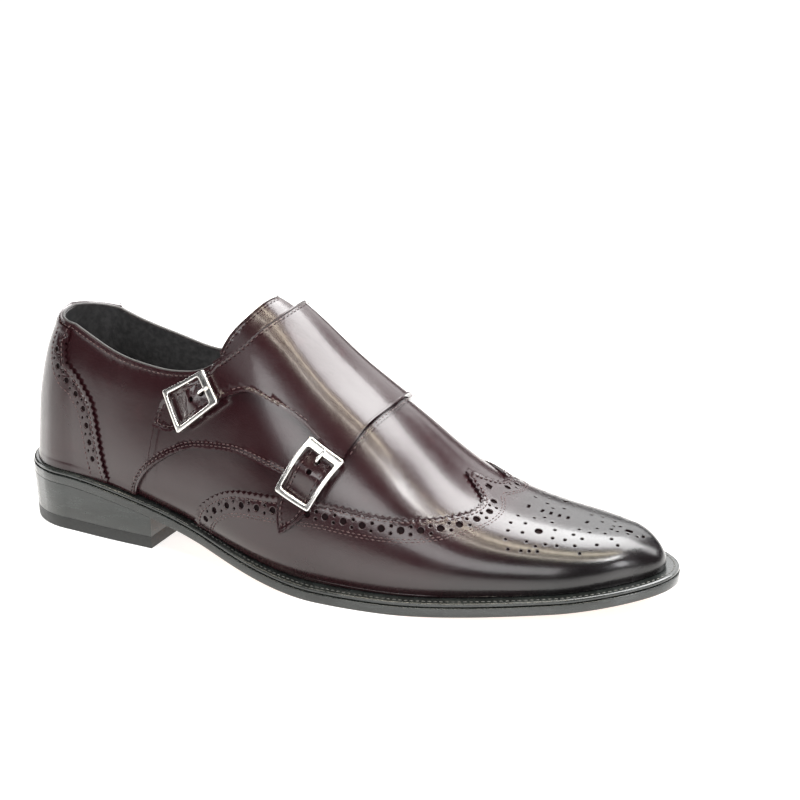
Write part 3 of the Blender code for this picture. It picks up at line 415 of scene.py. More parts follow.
def ring_stations():
    """Stations of the sole's outline, closer round the toe's tip."""
    front = LAST_LENGTH - TIP_LENGTH
    body = np.linspace(0.0, front, int(front / RING_STEP) + 1)
    tip = LAST_LENGTH - TIP_LENGTH * np.linspace(1.0, 0.0, TIP_POINTS + 1)[1:] ** 2
    return np.concatenate([body, tip])


def sole_ring(margin):
    """Closed plan outline, outside the feather line by the margin, which is a function of station."""
    stations = ring_stations()
    lateral = np.stack(edge_point(stations, -1.0, margin(stations)), axis=-1)
    medial = np.stack(edge_point(stations, 1.0, margin(stations)), axis=-1)[1:-1]
    return [tuple(point) for point in np.vstack([lateral, medial[::-1]])]


BOX_RING = np.array(sole_ring(sole_margin))
CENTRE = (BOX_RING.min(axis=0) + BOX_RING.max(axis=0)) / 2


# Seams on the last
def seam(points, side):
    """A smooth seam through its points, as an array of station and place."""
    points = np.array([(station, (1.0 - rise) * FLAT_HALF) for station, rise in points])
    way = np.concatenate([[0.0], np.cumsum(np.hypot(*np.diff(points, axis=0).T))])
    places = np.linspace(0.0, way[-1], max(2, int(math.ceil(way[-1] / SEAM_STEP)) + 1))
    stations = natural_spline(way, points[:, 0])(places)
    rises = np.clip(natural_spline(way, points[:, 1])(places), 0.0, FLAT_HALF)
    return np.stack([stations, side * rises / FLAT_HALF], axis=-1)


def over_crown(lateral):
    """A path up the lateral side, cut at the crown, and the same down the medial side."""
    crossing = np.nonzero(lateral[:, 1] >= -1e-4)[0]
    if len(crossing):
        last = crossing[0]
        before, after = lateral[last - 1], lateral[last]
        share = min(1.0, -before[1] / max(after[1] - before[1], 1e-9))
        lateral = np.vstack([lateral[:last], before + (after - before) * share])
    medial = lateral[::-1] * (1.0, -1.0)
    return np.vstack([lateral, medial[1:]])


def wing_line(offset):
    """A line a distance inside the wing's top edge, over both sides."""
    half = even(seam(WING_TOP, -1.0), LINE_STEP)
    return over_crown(shifted(half, -offset))


def slopes(path):
    """How a point of the last moves, in millimetres, for each step of station and of place."""
    station, place = path[:, 0], path[:, 1]
    step, side_step = 0.4, 0.004
    ahead = (last_point(station + step, place) - last_point(station - step, place)) / (2 * step)
    over = (last_point(station, place + side_step) - last_point(station, place - side_step)) / (2 * side_step)
    return ahead, over


def even(path, pitch):
    """The path with points a pitch apart on the leather."""
    fine = np.linspace(0, len(path) - 1, len(path) * 6)
    dense = np.stack([np.interp(fine, np.arange(len(path)), path[:, i]) for i in (0, 1)], axis=-1)
    places = skin(dense[:, 0], dense[:, 1], np.zeros(len(dense)))
    way = np.concatenate([[0.0], np.cumsum(np.linalg.norm(np.diff(places, axis=0), axis=1))])
    count = max(2, int(round(way[-1] / pitch)) + 1)
    at = np.linspace(0.0, way[-1], count)
    return np.stack([np.interp(at, way, dense[:, i]) for i in (0, 1)], axis=-1)


def shifted(path, offset):
    """The path moved sideways over the leather. A positive offset is to the left, seen from outside."""
    ahead, over = slopes(path)
    normal = last_normal(path[:, 0], path[:, 1])
    steps = np.gradient(path, axis=0)
    along = ahead * steps[:, :1] + over * steps[:, 1:]
    along /= np.linalg.norm(along, axis=1, keepdims=True) + 1e-9
    left = np.cross(normal, along) * np.broadcast_to(offset, (len(path),))[:, None]
    aa, ao, oo = (ahead * ahead).sum(1), (ahead * over).sum(1), (over * over).sum(1)
    la, lo = (left * ahead).sum(1), (left * over).sum(1)
    det = aa * oo - ao * ao
    moved = np.stack([(la * oo - lo * ao) / det, (lo * aa - la * ao) / det], axis=-1)
    return path + moved


def pinked(path, side):
    """The path cut in teeth, which reach TOOTH_DEPTH to the given side of it."""
    path = even(path, TOOTH_PITCH / 2)
    teeth = np.where(np.arange(len(path)) % 2 == 1, side * TOOTH_DEPTH, 0.0)
    teeth[0] = teeth[-1] = 0.0
    return shifted(path, teeth)


def joined(*runs):
    outline = []
    for run in runs:
        for point in run:
            point = (float(point[0]), float(point[1]))
            if not outline or math.dist(point, outline[-1]) > 1e-4:
                outline.append(point)
    if math.dist(outline[0], outline[-1]) < 1e-4:
        outline.pop()
    return outline


def collar_run(start, end, side):
    path = seam(COLLAR if side < 0 else COLLAR_MEDIAL, side)
    inside = path[(path[:, 0] > start) & (path[:, 0] < end)]
    ends = [(station, np.interp(station, path[:, 0], path[:, 1])) for station in (start, end)]
    return np.vstack([ends[0], inside, ends[1]])


# Straps' arms
def buckle_patch(row):
    station, place = row.station, row.rise - 1.0
    origin = last_point(station, place)
    step, side_step = 0.5, 0.005
    by_station = (last_point(station + step, place) - origin) / step
    by_place = (last_point(station, place + side_step) - origin) / side_step
    normal = last_normal(station, place)
    ahead = by_station / np.linalg.norm(by_station)
    up = np.cross(normal, ahead)
    turn = math.radians(row.angle)
    along = ahead * math.cos(turn) + up * math.sin(turn)
    across = up * math.cos(turn) - ahead * math.sin(turn)
    to_local = np.array([[by_station @ along, by_place @ along], [by_station @ across, by_place @ across]])
    to_net = np.linalg.inv(to_local)

    def forward(a, b):
        moved = to_net @ np.array([a, b])
        return np.array([station, place]).reshape((2,) + (1,) * (moved.ndim - 1)) + moved

    def back(s, v):
        return to_local @ np.array([np.asarray(s) - station, np.asarray(v) - place])

    return forward, back


PATCHES = {row.name: buckle_patch(row) for row in BUCKLES}


def arm_points(name, pairs):
    forward, _ = PATCHES[name]
    return np.array([forward(a, b) for a, b in pairs])


def arm_outline(name, inset=0.0):
    """Round an arm's end, from its front or lower edge to its rear or upper edge."""
    half = ARM_WIDTH / 2 - inset
    neck, shoulder = BUCKLE_LENGTH / 2 + ARM_NECK, -BUCKLE_LENGTH / 2 - ARM_SHOULDER
    reach = ARM_TIP_LENGTH - inset * TIP_INSET
    straight = [(neck + (shoulder - neck) * i / ARM_STEPS, half) for i in range(ARM_STEPS + 1)]
    bow = [(shoulder - reach * share, half * (1.0 - share**TIP_ROUNDING)) for share in ARM_TIP_SHARES]
    lower = [(along, -across) for along, across in straight + bow]
    upper = [(along, -across) for along, across in reversed(lower)]
    return arm_points(name, lower + [(shoulder - reach, 0.0)] + upper)


def strap_base(place):
    rise = 1.0 - np.abs(place)
    lift = smooth_step((STRAP_LIFT_TOP - rise) / (STRAP_LIFT_TOP - STRAP_LIFT_FULL)) * (place < 0)
    return LAYER + (OVERLAY + LAYER) * lift


def strap_hump(station, place):
    rise = np.zeros(np.broadcast(station, place).shape)
    for _, back in PATCHES.values():
        along, across = back(station, place)
        near = (np.abs(along) < HUMP_LENGTH) & (np.abs(across) < BUCKLE_WIDTH) & (place < 0)
        wave = 0.5 + 0.5 * np.cos(np.clip(along / HUMP_LENGTH, -1.0, 1.0) * math.pi)
        rise = np.where(near, (CENTRE_BAR + LAYER) * wave, rise)
    return rise


def strap_under(station, place):
    return strap_base(place) + strap_hump(station, place)


def strap_top(station, place):
    share = (station / LAST_LENGTH - STRAP_THIN_STATION) / (STRAP_FULL_STATION - STRAP_THIN_STATION)
    full = np.where(place < 0, 1.0, smooth_step(share))
    return strap_under(station, place) + OVERLAY + (STRAP - OVERLAY) * full


def strap_seat(station, place):
    return strap_under(station, place) - SNUG


COLLAR_LINES = [np.array([(station, rise) for station, rise in points]) for points in (COLLAR, COLLAR_MEDIAL)]


def depth_at(depth, station, place):
    """A depth, given as a number or as a function of station and place."""
    return depth(station, place) if callable(depth) else depth


def skived(inner, outer):
    """The outer depth of a panel that is pared thin towards the collar."""

    def depth(station, place):
        lines = [np.interp(station, line[:, 0], line[:, 1]) for line in COLLAR_LINES]
        below = np.where(place < 0, lines[0], lines[1]) - (1.0 - np.abs(place))
        share = SKIVED + (1.0 - SKIVED) * smooth_step(below / SKIVE_WIDTH)
        share = np.where(station > COLLAR[-1][0], 1.0, share)
        low, high = depth_at(inner, station, place), depth_at(outer, station, place)
        return low + (high - low) * share

    return depth


strap_outer = skived(strap_seat, strap_top)
counter_outer = skived(ON_LAST - SNUG, COUNTER_OUTER)
quarter_outer = skived(LAYER - SNUG, ON_LAST)


# Flat pattern
def to_flat(point):
    station, place = point
    front = LAST_LENGTH - TIP_LENGTH
    if station > front:
        left = math.sqrt(max(LAST_LENGTH - station, 0.0) / TIP_LENGTH)
        station = FLAT_END - TIP_LENGTH * TIP_STRETCH * left
    return station, place * FLAT_HALF


def from_flat(u, v):
    front = LAST_LENGTH - TIP_LENGTH
    left = np.clip((FLAT_END - u) / (TIP_LENGTH * TIP_STRETCH), 0.0, 1.0)
    station = np.where(u > front, LAST_LENGTH - TIP_LENGTH * left**2, u)
    return station, np.clip(v / FLAT_HALF, -1.0, 1.0)


def only(kind, items):
    """The items of one kind, such as the verts of what an operator made."""
    return [item for item in items if isinstance(item, kind)]


Hole = namedtuple("Hole", "station place radius")


def hole_frame(hole, radius):
    """Matrix that lays a unit circle on the flat pattern so that it is round on the leather."""
    ahead, over = slopes(np.array([[hole.station, hole.place]]))
    ahead, over = ahead[0], over[0]
    first = ahead / np.linalg.norm(ahead)
    second = np.cross(np.cross(ahead, over), first)
    second /= np.linalg.norm(second)
    to_local = np.array([[ahead @ first, over @ first], [ahead @ second, over @ second]])
    net = np.linalg.inv(to_local) * radius
    u, v = to_flat((hole.station, hole.place))
    step = 0.1
    stretch = (to_flat((hole.station + step, hole.place))[0] - u) / step
    first_row = net[0, 0] * stretch, net[0, 1] * stretch, 0, u
    second_row = net[1, 0] * FLAT_HALF, net[1, 1] * FLAT_HALF, 0, v
    return Matrix((first_row, second_row, (0, 0, 1, 1), (0, 0, 0, 1)))


def turn_up(faces):
    """Flips the faces that look down."""
    for face in faces:
        if face.normal.z < 0:
            face.normal_flip()


def flat_face(bm, points):
    """A level face that looks up, on an outline of x and y."""
    face = bm.faces.new([bm.verts.new((*point, 0.0)) for point in points])
    face.normal_update()
    turn_up([face])
    return face


def punch(bm, faces, holes):
    """Punches round holes out of the flat faces, each with a soft lip, and its floor and low walls painted
    near black as painted shade.
    """
    rim = list({edge for face in faces for edge in face.edges})
    bmesh.ops.delete(bm, geom=faces, context="FACES_ONLY")
    loops = []
    for hole in holes:
        lip = hole.radius + 2 * HOLE_LIP
        segments = LARGE_SIDES if hole.radius > LARGE_FROM else SMALL_SIDES
        made = bmesh.ops.create_circle(bm, segments=segments, radius=1.0, matrix=hole_frame(hole, lip))
        edges = list({edge for vert in made["verts"] for edge in vert.link_edges})
        loops.append((edges, hole, lip))
        rim += edges
    filled = bmesh.ops.triangle_fill(bm, edges=rim, use_beauty=True, normal=(0.0, 0.0, 1.0))["geom"]
    turn_up(only(FACE, filled))
    for edges, hole, lip in loops:
        centre = Vector((*to_flat((hole.station, hole.place)), 1.0))
        lip_share, wall_share = 1.0 - HOLE_LIP / lip, hole.radius / (lip - HOLE_LIP)
        for shrink, level in ((lip_share, 1.0), (wall_share, RIM_LEVEL), (FLOOR_SHARE, FLOOR_LEVEL)):
            grown = bmesh.ops.extrude_edge_only(bm, edges=edges)["geom"]
            verts, edges = only(VERT, grown), only(EDGE, grown)
            for vert in verts:
                vert.co = centre + (vert.co - centre) * shrink
                vert.co.z = level
            # The floor and the walls below this level are painted near black: painted shade in the hole.
            if level < PAINTED_SHADE_LEVEL:
                for face in {face for edge in edges for face in edge.link_faces}:
                    face.material_index = 1
        turn_up(bmesh.ops.edgeloop_fill(bm, edges=edges, mat_nr=1)["faces"])


def cut_net(bm, normal, lines, snap=0.12, level=0.0):
    """Cuts a mesh along lines across a direction. With a level, faces steeper than that stay whole."""
    for line in lines:
        geom = bm.verts[:] + bm.edges[:] + bm.faces[:]
        if level:
            bm.normal_update()
            faces = [face for face in bm.faces if abs(face.normal.z) >= level]
            edges = list({edge for face in faces for edge in face.edges})
            geom = list({vert for face in faces for vert in face.verts}) + edges + faces
        bmesh.ops.bisect_plane(bm, geom=geom, dist=snap, plane_co=normal * line, plane_no=normal)


def leather_panel(
    name, outline, inner, outer, materials, holes=(), seam_ends=(), under=0, drop=EDGE_DROP, mirrored=False
):
    """A leather panel with soft edges and punched holes, cut flat and bent over the last.

    Its two faces lie at the inner and outer depths, each a number or a function of station and place. under
    is the material index of the inner face. Walls at the stations in seam_ends are left out, because both
    sides meet there. A mirrored panel is given as its medial half.
    """
    bm = bmesh.new()
    flat_ends = [to_flat((end, 0.0))[0] for end in seam_ends]
    points = [to_flat(point) for point in outline]
    points = [point for i, point in enumerate(points) if math.dist(point, points[i - 1]) > POINT_GAP]
    base = flat_face(bm, points)
    lifted = bmesh.ops.extrude_face_region(bm, geom=[base], use_keep_orig=True)["geom"]
    bmesh.ops.reverse_faces(bm, faces=[base])
    base.material_index = under
    caps = only(FACE, lifted)
    for vert in only(VERT, lifted):
        vert.co.z = 1.0
    for end in flat_ends:
        walls = [face for face in bm.faces if all(abs(vert.co.x - end) < 1e-4 for vert in face.verts)]
        bmesh.ops.delete(bm, geom=walls, context="FACES")
    rim = {vert for face in caps for vert in face.verts}
    for width in (EDGE_ROUND, EDGE_SUPPORT):
        bmesh.ops.inset_region(bm, faces=caps, thickness=width, use_even_offset=True, use_boundary=True)
    for vert in rim:
        if not any(abs(vert.co.x - end) < 1e-3 for end in flat_ends):
            vert.co.z = 1.0 - drop
    if holes:
        punch(bm, caps, holes)
    bmesh.ops.triangulate(bm, faces=bm.faces, quad_method="BEAUTY", ngon_method="BEAUTY")
    corners = np.array([vert.co[:2] for vert in bm.verts])
    (low, left), (high, right) = corners.min(axis=0), corners.max(axis=0)
    cut_net(bm, ALONG, [u for u in np.arange(STATION_STEP, FLAT_END, STATION_STEP) if low < u < high])
    cut_net(bm, ACROSS, [v for v in PLACE_LINES if left < v < right])
    bmesh.ops.triangulate(bm, faces=bm.faces, quad_method="BEAUTY", ngon_method="BEAUTY")
    if mirrored:
        half = bmesh.ops.duplicate(bm, geom=bm.verts[:] + bm.edges[:] + bm.faces[:])["geom"]
        bmesh.ops.scale(bm, verts=only(VERT, half), vec=(1.0, -1.0, 1.0))
        bmesh.ops.reverse_faces(bm, faces=only(FACE, half))
    flat = np.array([vert.co for vert in bm.verts])
    station, place = from_flat(flat[:, 0], flat[:, 1])
    low, high = depth_at(inner, station, place), depth_at(outer, station, place)
    depth = low + (high - low) * flat[:, 2]
    for vert, point in zip(bm.verts, skin(station, place, depth)):
        vert.co = point
    bmesh.ops.remove_doubles(bm, verts=bm.verts, dist=0.01)
    bmesh.ops.dissolve_degenerate(bm, edges=bm.edges, dist=0.005)
    bmesh.ops.recalc_face_normals(bm, faces=bm.faces)
    return finished(name, bm, materials)


def as_mesh(name, bm):
    """A named mesh from a bmesh, which is freed."""
    mesh = bpy.data.meshes.new(name)
    bm.to_mesh(mesh)
    bm.free()
    return mesh


def set_out(name, data):
    """A new object in the scene."""
    item = bpy.data.objects.new(name, data)
    bpy.context.scene.collection.objects.link(item)
    return item


def finished(name, bm, materials, sharp=50.0):
    """Moves a finished mesh from the last's millimetres into the frame and lets it ride on the shoe."""
    bmesh.ops.translate(bm, verts=bm.verts, vec=(-CENTRE[0], -CENTRE[1], 0.0))
    bmesh.ops.scale(bm, verts=bm.verts, vec=(MM, MM, MM))
    mesh = as_mesh(name, bm)
    mesh.shade_smooth()
    mesh.set_sharp_from_angle(angle=math.radians(sharp))
    for material in materials:
        mesh.materials.append(material)
    item = set_out(name, mesh)
    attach(item, "root")
    return item


def lay_stitch(bm, middle, axes, half_sizes):
    """One stitch, a ball stretched along its axes."""
    turn = Matrix(axes).transposed().to_4x4()
    matrix = Matrix.Translation(middle) @ turn @ Matrix.Diagonal((*half_sizes, 1.0))
    bmesh.ops.create_uvsphere(bm, u_segments=6, v_segments=4, radius=1.0, matrix=matrix)


def sew(bm, path, depth):
    """A row of stitches along a path, half sunk in the leather at a depth."""
    path = even(path, STITCH_PITCH)
    middle = (path[1:] + path[:-1]) / 2
    levels = depth(middle[:, 0], middle[:, 1]) if callable(depth) else np.full(len(middle), float(depth))
    places = skin(middle[:, 0], middle[:, 1], levels)
    normals = last_normal(middle[:, 0], middle[:, 1])
    ends = skin(path[:, 0], path[:, 1], np.interp(np.arange(len(path)), np.arange(len(middle)) + 0.5, levels))
    ways = np.diff(ends, axis=0)
    for start in range(0, len(places), BATCH):
        batch = slice(start, start + BATCH)
        row = bmesh.new()
        for place, normal, way in zip(places[batch], normals[batch], ways[batch]):
            way, normal = Vector(way).normalized(), Vector(normal)
            side = normal.cross(way).normalized()
            half_sizes = STITCH_LENGTH / 2, STITCH_WIDTH / 2, STITCH_WIDTH / 2
            lay_stitch(row, Vector(place), (way, side, normal), half_sizes)
        mesh = as_mesh("stitch_row", row)
        bm.from_mesh(mesh)
        bpy.data.meshes.remove(mesh)


# Materials
def node_group(name, inputs, outputs):
    """A shader node group whose sockets are given as label=kind, with its two ends."""
    group = bpy.data.node_groups.new(name, "ShaderNodeTree")
    for direction, sockets in (("INPUT", inputs), ("OUTPUT", outputs)):
        for label, kind in sockets.items():
            group.interface.new_socket(label, in_out=direction, socket_type=f"NodeSocket{kind}")
    return group, group.nodes.new("NodeGroupInput"), group.nodes.new("NodeGroupOutput")


def add_node(tree, kind, settings=None, **values):
    node = tree.nodes.new(kind)
    for key, value in (settings or {}).items():
        setattr(node, key, value)
    for key, value in values.items():
        node.inputs[key.replace("_", " ")].default_value = value
    return node


def noise(tree, place, scale, detail=3.0, roughness=0.5):
    node = add_node(tree, "ShaderNodeTexNoise", Scale=scale, Detail=detail, Roughness=roughness)
    tree.links.new(place, node.inputs["Vector"])
    return node.outputs["Fac"]


def span(tree, value, low, high, out_low=0.0, out_high=1.0):
    limits = {"From_Min": low, "From_Max": high, "To_Min": out_low, "To_Max": out_high}
    node = add_node(tree, "ShaderNodeMapRange", {"interpolation_type": "SMOOTHSTEP"}, **limits)
    tree.links.new(value, node.inputs["Value"])
    return node.outputs["Result"]


def maths(tree, operation, first, second):
    node = add_node(tree, "ShaderNodeMath", {"operation": operation})
    for i, value in enumerate((first, second)):
        if isinstance(value, (int, float)):
            node.inputs[i].default_value = value
        else:
            tree.links.new(value, node.inputs[i])
    return node.outputs["Value"]


def blend(tree, factor, first, second):
    node = tree.nodes.new("ShaderNodeMix")
    node.data_type = "RGBA"
    tree.links.new(factor, node.inputs["Factor"])
    for label, value in (("A", first), ("B", second)):
        socket = next(item for item in node.inputs if item.name == label and item.type == "RGBA")
        if isinstance(value, tuple):
            socket.default_value = (*value, 1.0)
        else:
            tree.links.new(value, socket)
    return next(item for item in node.outputs if item.type == "RGBA")


TOE_DARK = 0.85
HEEL_DARK = 0.35
FOOT_DARK = 0.25
CLOUD_DARK = 0.9


def make_patina():
    """Hand-burnished colour: darker at toe, heel and feather line, with cloudy dye and worn lighter spots."""
    inputs = {"Place": "Vector", "Roughness": "Float"}
    inputs.update({"Leather": "Color", "Burnish": "Color", "Worn": "Color"})
    group, put, get = node_group("burnished_patina", inputs, {"Color": "Color", "Roughness": "Float"})
    place = put.outputs["Place"]
    split = group.nodes.new("ShaderNodeSeparateXYZ")
    group.links.new(place, split.inputs[0])
    x, z = split.outputs["X"], split.outputs["Z"]
    cloud = maths(group, "SUBTRACT", noise(group, place, 38.0, 4.0, 0.6), 0.5)
    dark = 0.0
    for zone, share in (
        (span(group, x, 0.040, 0.125), TOE_DARK),
        (span(group, x, -0.105, -0.150), HEEL_DARK),
        (span(group, z, 0.045, 0.008), FOOT_DARK),
        (cloud, CLOUD_DARK),
    ):
        dark = maths(group, "ADD", dark, maths(group, "MULTIPLY", zone, share))
    dark = span(group, dark, 0.0, 1.1)
    worn = span(group, noise(group, place, 95.0, 5.0, 0.65), 0.58, 0.78, 0.0, 0.45)
    base = blend(group, worn, put.outputs["Leather"], put.outputs["Worn"])
    group.links.new(blend(group, dark, base, put.outputs["Burnish"]), get.inputs["Color"])
    uneven = maths(group, "SUBTRACT", noise(group, place, 60.0, 4.0), 0.5)
    gloss = maths(group, "MULTIPLY", uneven, 0.22)
    group.links.new(maths(group, "ADD", put.outputs["Roughness"], gloss), get.inputs["Roughness"])
    return group


def make_grain():
    """Fine polished calf grain over soft unevenness of the hide."""
    group, put, get = node_group("calf_grain", {"Place": "Vector"}, {"Normal": "Vector"})
    place = put.outputs["Place"]
    cells = add_node(group, "ShaderNodeTexVoronoi", {"feature": "DISTANCE_TO_EDGE"}, Scale=1500.0)
    group.links.new(place, cells.inputs["Vector"])
    normal = None
    for height, strength, distance in (
        (noise(group, place, 55.0, 2.0), 0.05, 0.003),
        (noise(group, place, 620.0, 3.0), 0.07, 0.0004),
        (span(group, cells.outputs["Distance"], 0.0, 0.25), 0.06, 0.0003),
    ):
        bump = add_node(group, "ShaderNodeBump", Strength=strength, Distance=distance)
        group.links.new(height, bump.inputs["Height"])
        if normal is not None:
            group.links.new(normal, bump.inputs["Normal"])
        normal = bump.outputs["Normal"]
    group.links.new(normal, get.inputs["Normal"])
    return group


def new_material(name):
    material = bpy.data.materials.new(name)
    material.use_nodes = True
    tree = material.node_tree
    place = tree.nodes.new("ShaderNodeTexCoord").outputs["Object"]
    return material, tree, tree.nodes["Principled BSDF"], place


def leather_material(name, leather, burnish, worn, roughness, coat):
    material, tree, shader, place = new_material(name)
    patina = tree.nodes.new("ShaderNodeGroup")
    patina.node_tree = PATINA
    for label, value in (("Leather", leather), ("Burnish", burnish), ("Worn", worn)):
        patina.inputs[label].default_value = (*value, 1.0)
    patina.inputs["Roughness"].default_value = roughness
    relief = tree.nodes.new("ShaderNodeGroup")
    relief.node_tree = GRAIN
    for node in (patina, relief):
        tree.links.new(place, node.inputs["Place"])
    tree.links.new(patina.outputs["Color"], shader.inputs["Base Color"])
    tree.links.new(patina.outputs["Roughness"], shader.inputs["Roughness"])
    tree.links.new(relief.outputs["Normal"], shader.inputs["Normal"])
    shader.inputs["Coat Weight"].default_value = coat
    shader.inputs["Coat Roughness"].default_value = 0.09
    shader.inputs["Specular IOR Level"].default_value = 0.52
    return material


def speckled_material(
    name, colour, second, scale, roughness, metallic=0.0, bump=0.1, coat=0.0, stretch=(1, 1, 1)
):
    """A plain finish with fine variation of colour, gloss and relief."""
    material, tree, shader, place = new_material(name)
    mapping = add_node(tree, "ShaderNodeMapping", Scale=stretch)
    tree.links.new(place, mapping.inputs["Vector"])
    spots = noise(tree, mapping.outputs["Vector"], scale, 4.0, 0.6)
    tree.links.new(blend(tree, span(tree, spots, 0.35, 0.7), colour, second), shader.inputs["Base Color"])
    gloss = span(tree, spots, 0.3, 0.75, roughness * 0.8, roughness * 1.25)
    tree.links.new(gloss, shader.inputs["Roughness"])
    relief = add_node(tree, "ShaderNodeBump", Strength=bump, Distance=0.0004)
    tree.links.new(spots, relief.inputs["Height"])
    tree.links.new(relief.outputs["Normal"], shader.inputs["Normal"])
    shader.inputs["Metallic"].default_value = metallic
    shader.inputs["Coat Weight"].default_value = coat
    return material


PATINA = make_patina()
GRAIN = make_grain()
oxblood = leather_material(
    "oxblood_calf", (0.018, 0.0044, 0.0060), (0.003, 0.0022, 0.0027), (0.046, 0.013, 0.016), 0.23, 0.18
)
# The holes' floors and low walls: the leather beneath, painted far darker and less glossy than it is, as
# painted shade.
hole_painted_shade = speckled_material("hole_floor_painted_shade", (0.006, 0.003, 0.0035), (0.014, 0.006, 0.007), 900.0, 0.85)
hole_painted_shade.node_tree.nodes["Principled BSDF"].inputs["Specular IOR Level"].default_value = 0.12
lining = speckled_material("black_lining", (0.035, 0.035, 0.036), (0.06, 0.059, 0.06), 420.0, 0.55, bump=0.25)
sock = speckled_material("black_sock", (0.030, 0.028, 0.029), (0.055, 0.052, 0.052), 300.0, 0.5, bump=0.2)
thread = speckled_material("waxed_thread", (0.03, 0.012, 0.013), (0.12, 0.07, 0.07), 1400.0, 0.35, bump=0.3)
pale_thread = speckled_material("welt_thread", (0.05, 0.05, 0.048), (0.12, 0.12, 0.11), 1400.0, 0.5, bump=0.3)
nickel = speckled_material("polished_nickel", (0.90, 0.88, 0.85), (0.82, 0.80, 0.77), 260.0, 0.22, 1.0, 0.02)
edge_black = speckled_material(
    "waxed_edge", (0.011, 0.013, 0.0125), (0.022, 0.026, 0.025), 160.0, 0.26,
    bump=0.06, coat=0.35, stretch=(1, 1, 5),
)
heel_black = speckled_material(
    "waxed_heel", (0.010, 0.0125, 0.012), (0.020, 0.025, 0.024), 120.0, 0.24,
    bump=0.05, coat=0.4, stretch=(1, 1, 6),
)
rubber = speckled_material("heel_rubber", (0.010, 0.011, 0.011), (0.02, 0.021, 0.021), 500.0, 0.45, bump=0.15)
tan = speckled_material(
    "tan_sole_leather", (0.46, 0.22, 0.085), (0.62, 0.34, 0.15), 130.0, 0.4, bump=0.12, coat=0.1
)


# Brogue holes
def holes_along(path, pitch, large, small, spread):
    """Large holes along a path with a pair of small ones, side by side, between each two."""
    path = even(path, pitch / 2)
    left, right = shifted(path, spread), shifted(path, -spread)
    holes = []
    for i in range(1, len(path) - 1):
        if i % 2:
            holes.append(Hole(*path[i], large))
        else:
            holes += [Hole(*left[i], small), Hole(*right[i], small)]
    return holes


def mirror_image(holes):
    return [Hole(hole.station, -hole.place, hole.radius) for hole in holes]


# Medallion, charted on the lateral half: a rosette is a large hole in an oval ring of small ones, with the
# ring's radii in mm along and across the last, and a run is a row of small holes through its points.
Rosette = namedtuple("Rosette", "station place along across count")
ROSETTES = (
    Rosette(247.2, -0.217, 6.5, 9.4, 10),
    Rosette(279.6, 0.0, 7.0, 7.4, 10),
)
Run = namedtuple("Run", "points count")
MEDALLION_RUNS = (
    Run(((237.0, 0.0), (235.4, -0.20), (236.6, -0.38), (239.0, -0.475)), 7),
    Run(((244.0, -0.47), (250.2, -0.455), (256.6, -0.36), (260.6, -0.18), (262.1, 0.0)), 9),
    Run(((267.4, -0.03), (271.7, -0.09), (275.3, -0.175), (278.6, -0.285)), 4),
    Run(((263.2, -0.335), (265.9, -0.11)), 3),
    Run(((266.0, -0.43), (271.0, -0.295)), 2),
    Run(((243.0, 0.0), (254.0, 0.0)), 4),
)
MEDALLION_LARGE = 1.5
SMALL_HOLE = 0.6
HOLE_GAP = 2.6


def medallion():
    """The toe's holes. A hole too near to one before it is left out."""
    wanted = []
    for rosette in ROSETTES:
        wanted.append(Hole(rosette.station, rosette.place, MEDALLION_LARGE))
        on_leather = hole_frame(wanted[-1], 1.0)
        for i in range(rosette.count):
            turn = 2 * math.pi * (i + 0.5) / rosette.count
            at = on_leather @ Vector((rosette.along * math.cos(turn), rosette.across * math.sin(turn), 0.0))
            station, place = from_flat(at.x, at.y)
            wanted.append(Hole(float(station), float(place), SMALL_HOLE))
    for run in MEDALLION_RUNS:
        stations, places = np.array(run.points).T
        along = np.linspace(0.0, 1.0, len(stations))
        for mark in np.linspace(0.0, 1.0, run.count):
            station, place = np.interp(mark, along, stations), np.interp(mark, along, places)
            wanted.append(Hole(float(station), float(place), SMALL_HOLE))
    wanted += mirror_image(wanted)
    holes, centres = [], []
    for hole in wanted:
        centre = skin(hole.station, hole.place, WING_OUTER).ravel()
        if all(np.linalg.norm(centre - other) > HOLE_GAP for other in centres):
            holes.append(hole)
            centres.append(centre)
    return holes


# Panels
def make_upper():
    lateral, medial = (seam(points + THROAT, side) for points, side in ((COLLAR, -1.0), (COLLAR_MEDIAL, 1.0)))
    opening = joined(lateral, medial[::-1])
    outline = joined([(0.0, -1.0), (LAST_LENGTH, -1.0), (LAST_LENGTH, 1.0), (0.0, 1.0)], opening[::-1])
    ends = 0.0, LAST_LENGTH
    piece = leather_panel(
        "upper_leather", outline, -WALL, 0.0, [oxblood, lining], seam_ends=ends, under=1, drop=UPPER_DROP
    )
    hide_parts("upper")


def make_tongue():
    half = joined(seam(TONGUE_REAR, -1.0), seam(TONGUE_SIDE, -1.0))
    outline = joined(half, [(station, -place) for station, place in reversed(half)])
    outer = -WALL - LAYER
    piece = leather_panel("tongue_leather", outline, outer - TONGUE, outer, [oxblood, lining], under=1)
    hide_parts("tongue")


BAND_WIDTH = 9.6
BAND_SKIPPED = 3
BAND_PITCH = 8.0
BAND_HOLE = 1.35
BAND_SPREAD = 1.55


def make_wing_tip():
    top = over_crown(pinked(seam(WING_TOP, -1.0), 1.0))
    outline = joined(top, [(LAST_LENGTH, 1.0), (LAST_LENGTH, -1.0)])
    band = wing_line(BAND_WIDTH / 2)
    half = band[BAND_SKIPPED : len(band) // 2 - 1]
    holes = holes_along(half, BAND_PITCH, BAND_HOLE, SMALL_HOLE, BAND_SPREAD)
    holes += mirror_image(holes)
    holes += [Hole(*band[len(band) // 2], BAND_HOLE)] + medallion()
    piece = leather_panel(
        "wing_tip_leather", outline, LAYER - SNUG, WING_OUTER, [oxblood, hole_painted_shade], holes, (LAST_LENGTH,)
    )
    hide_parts("wing_tip")


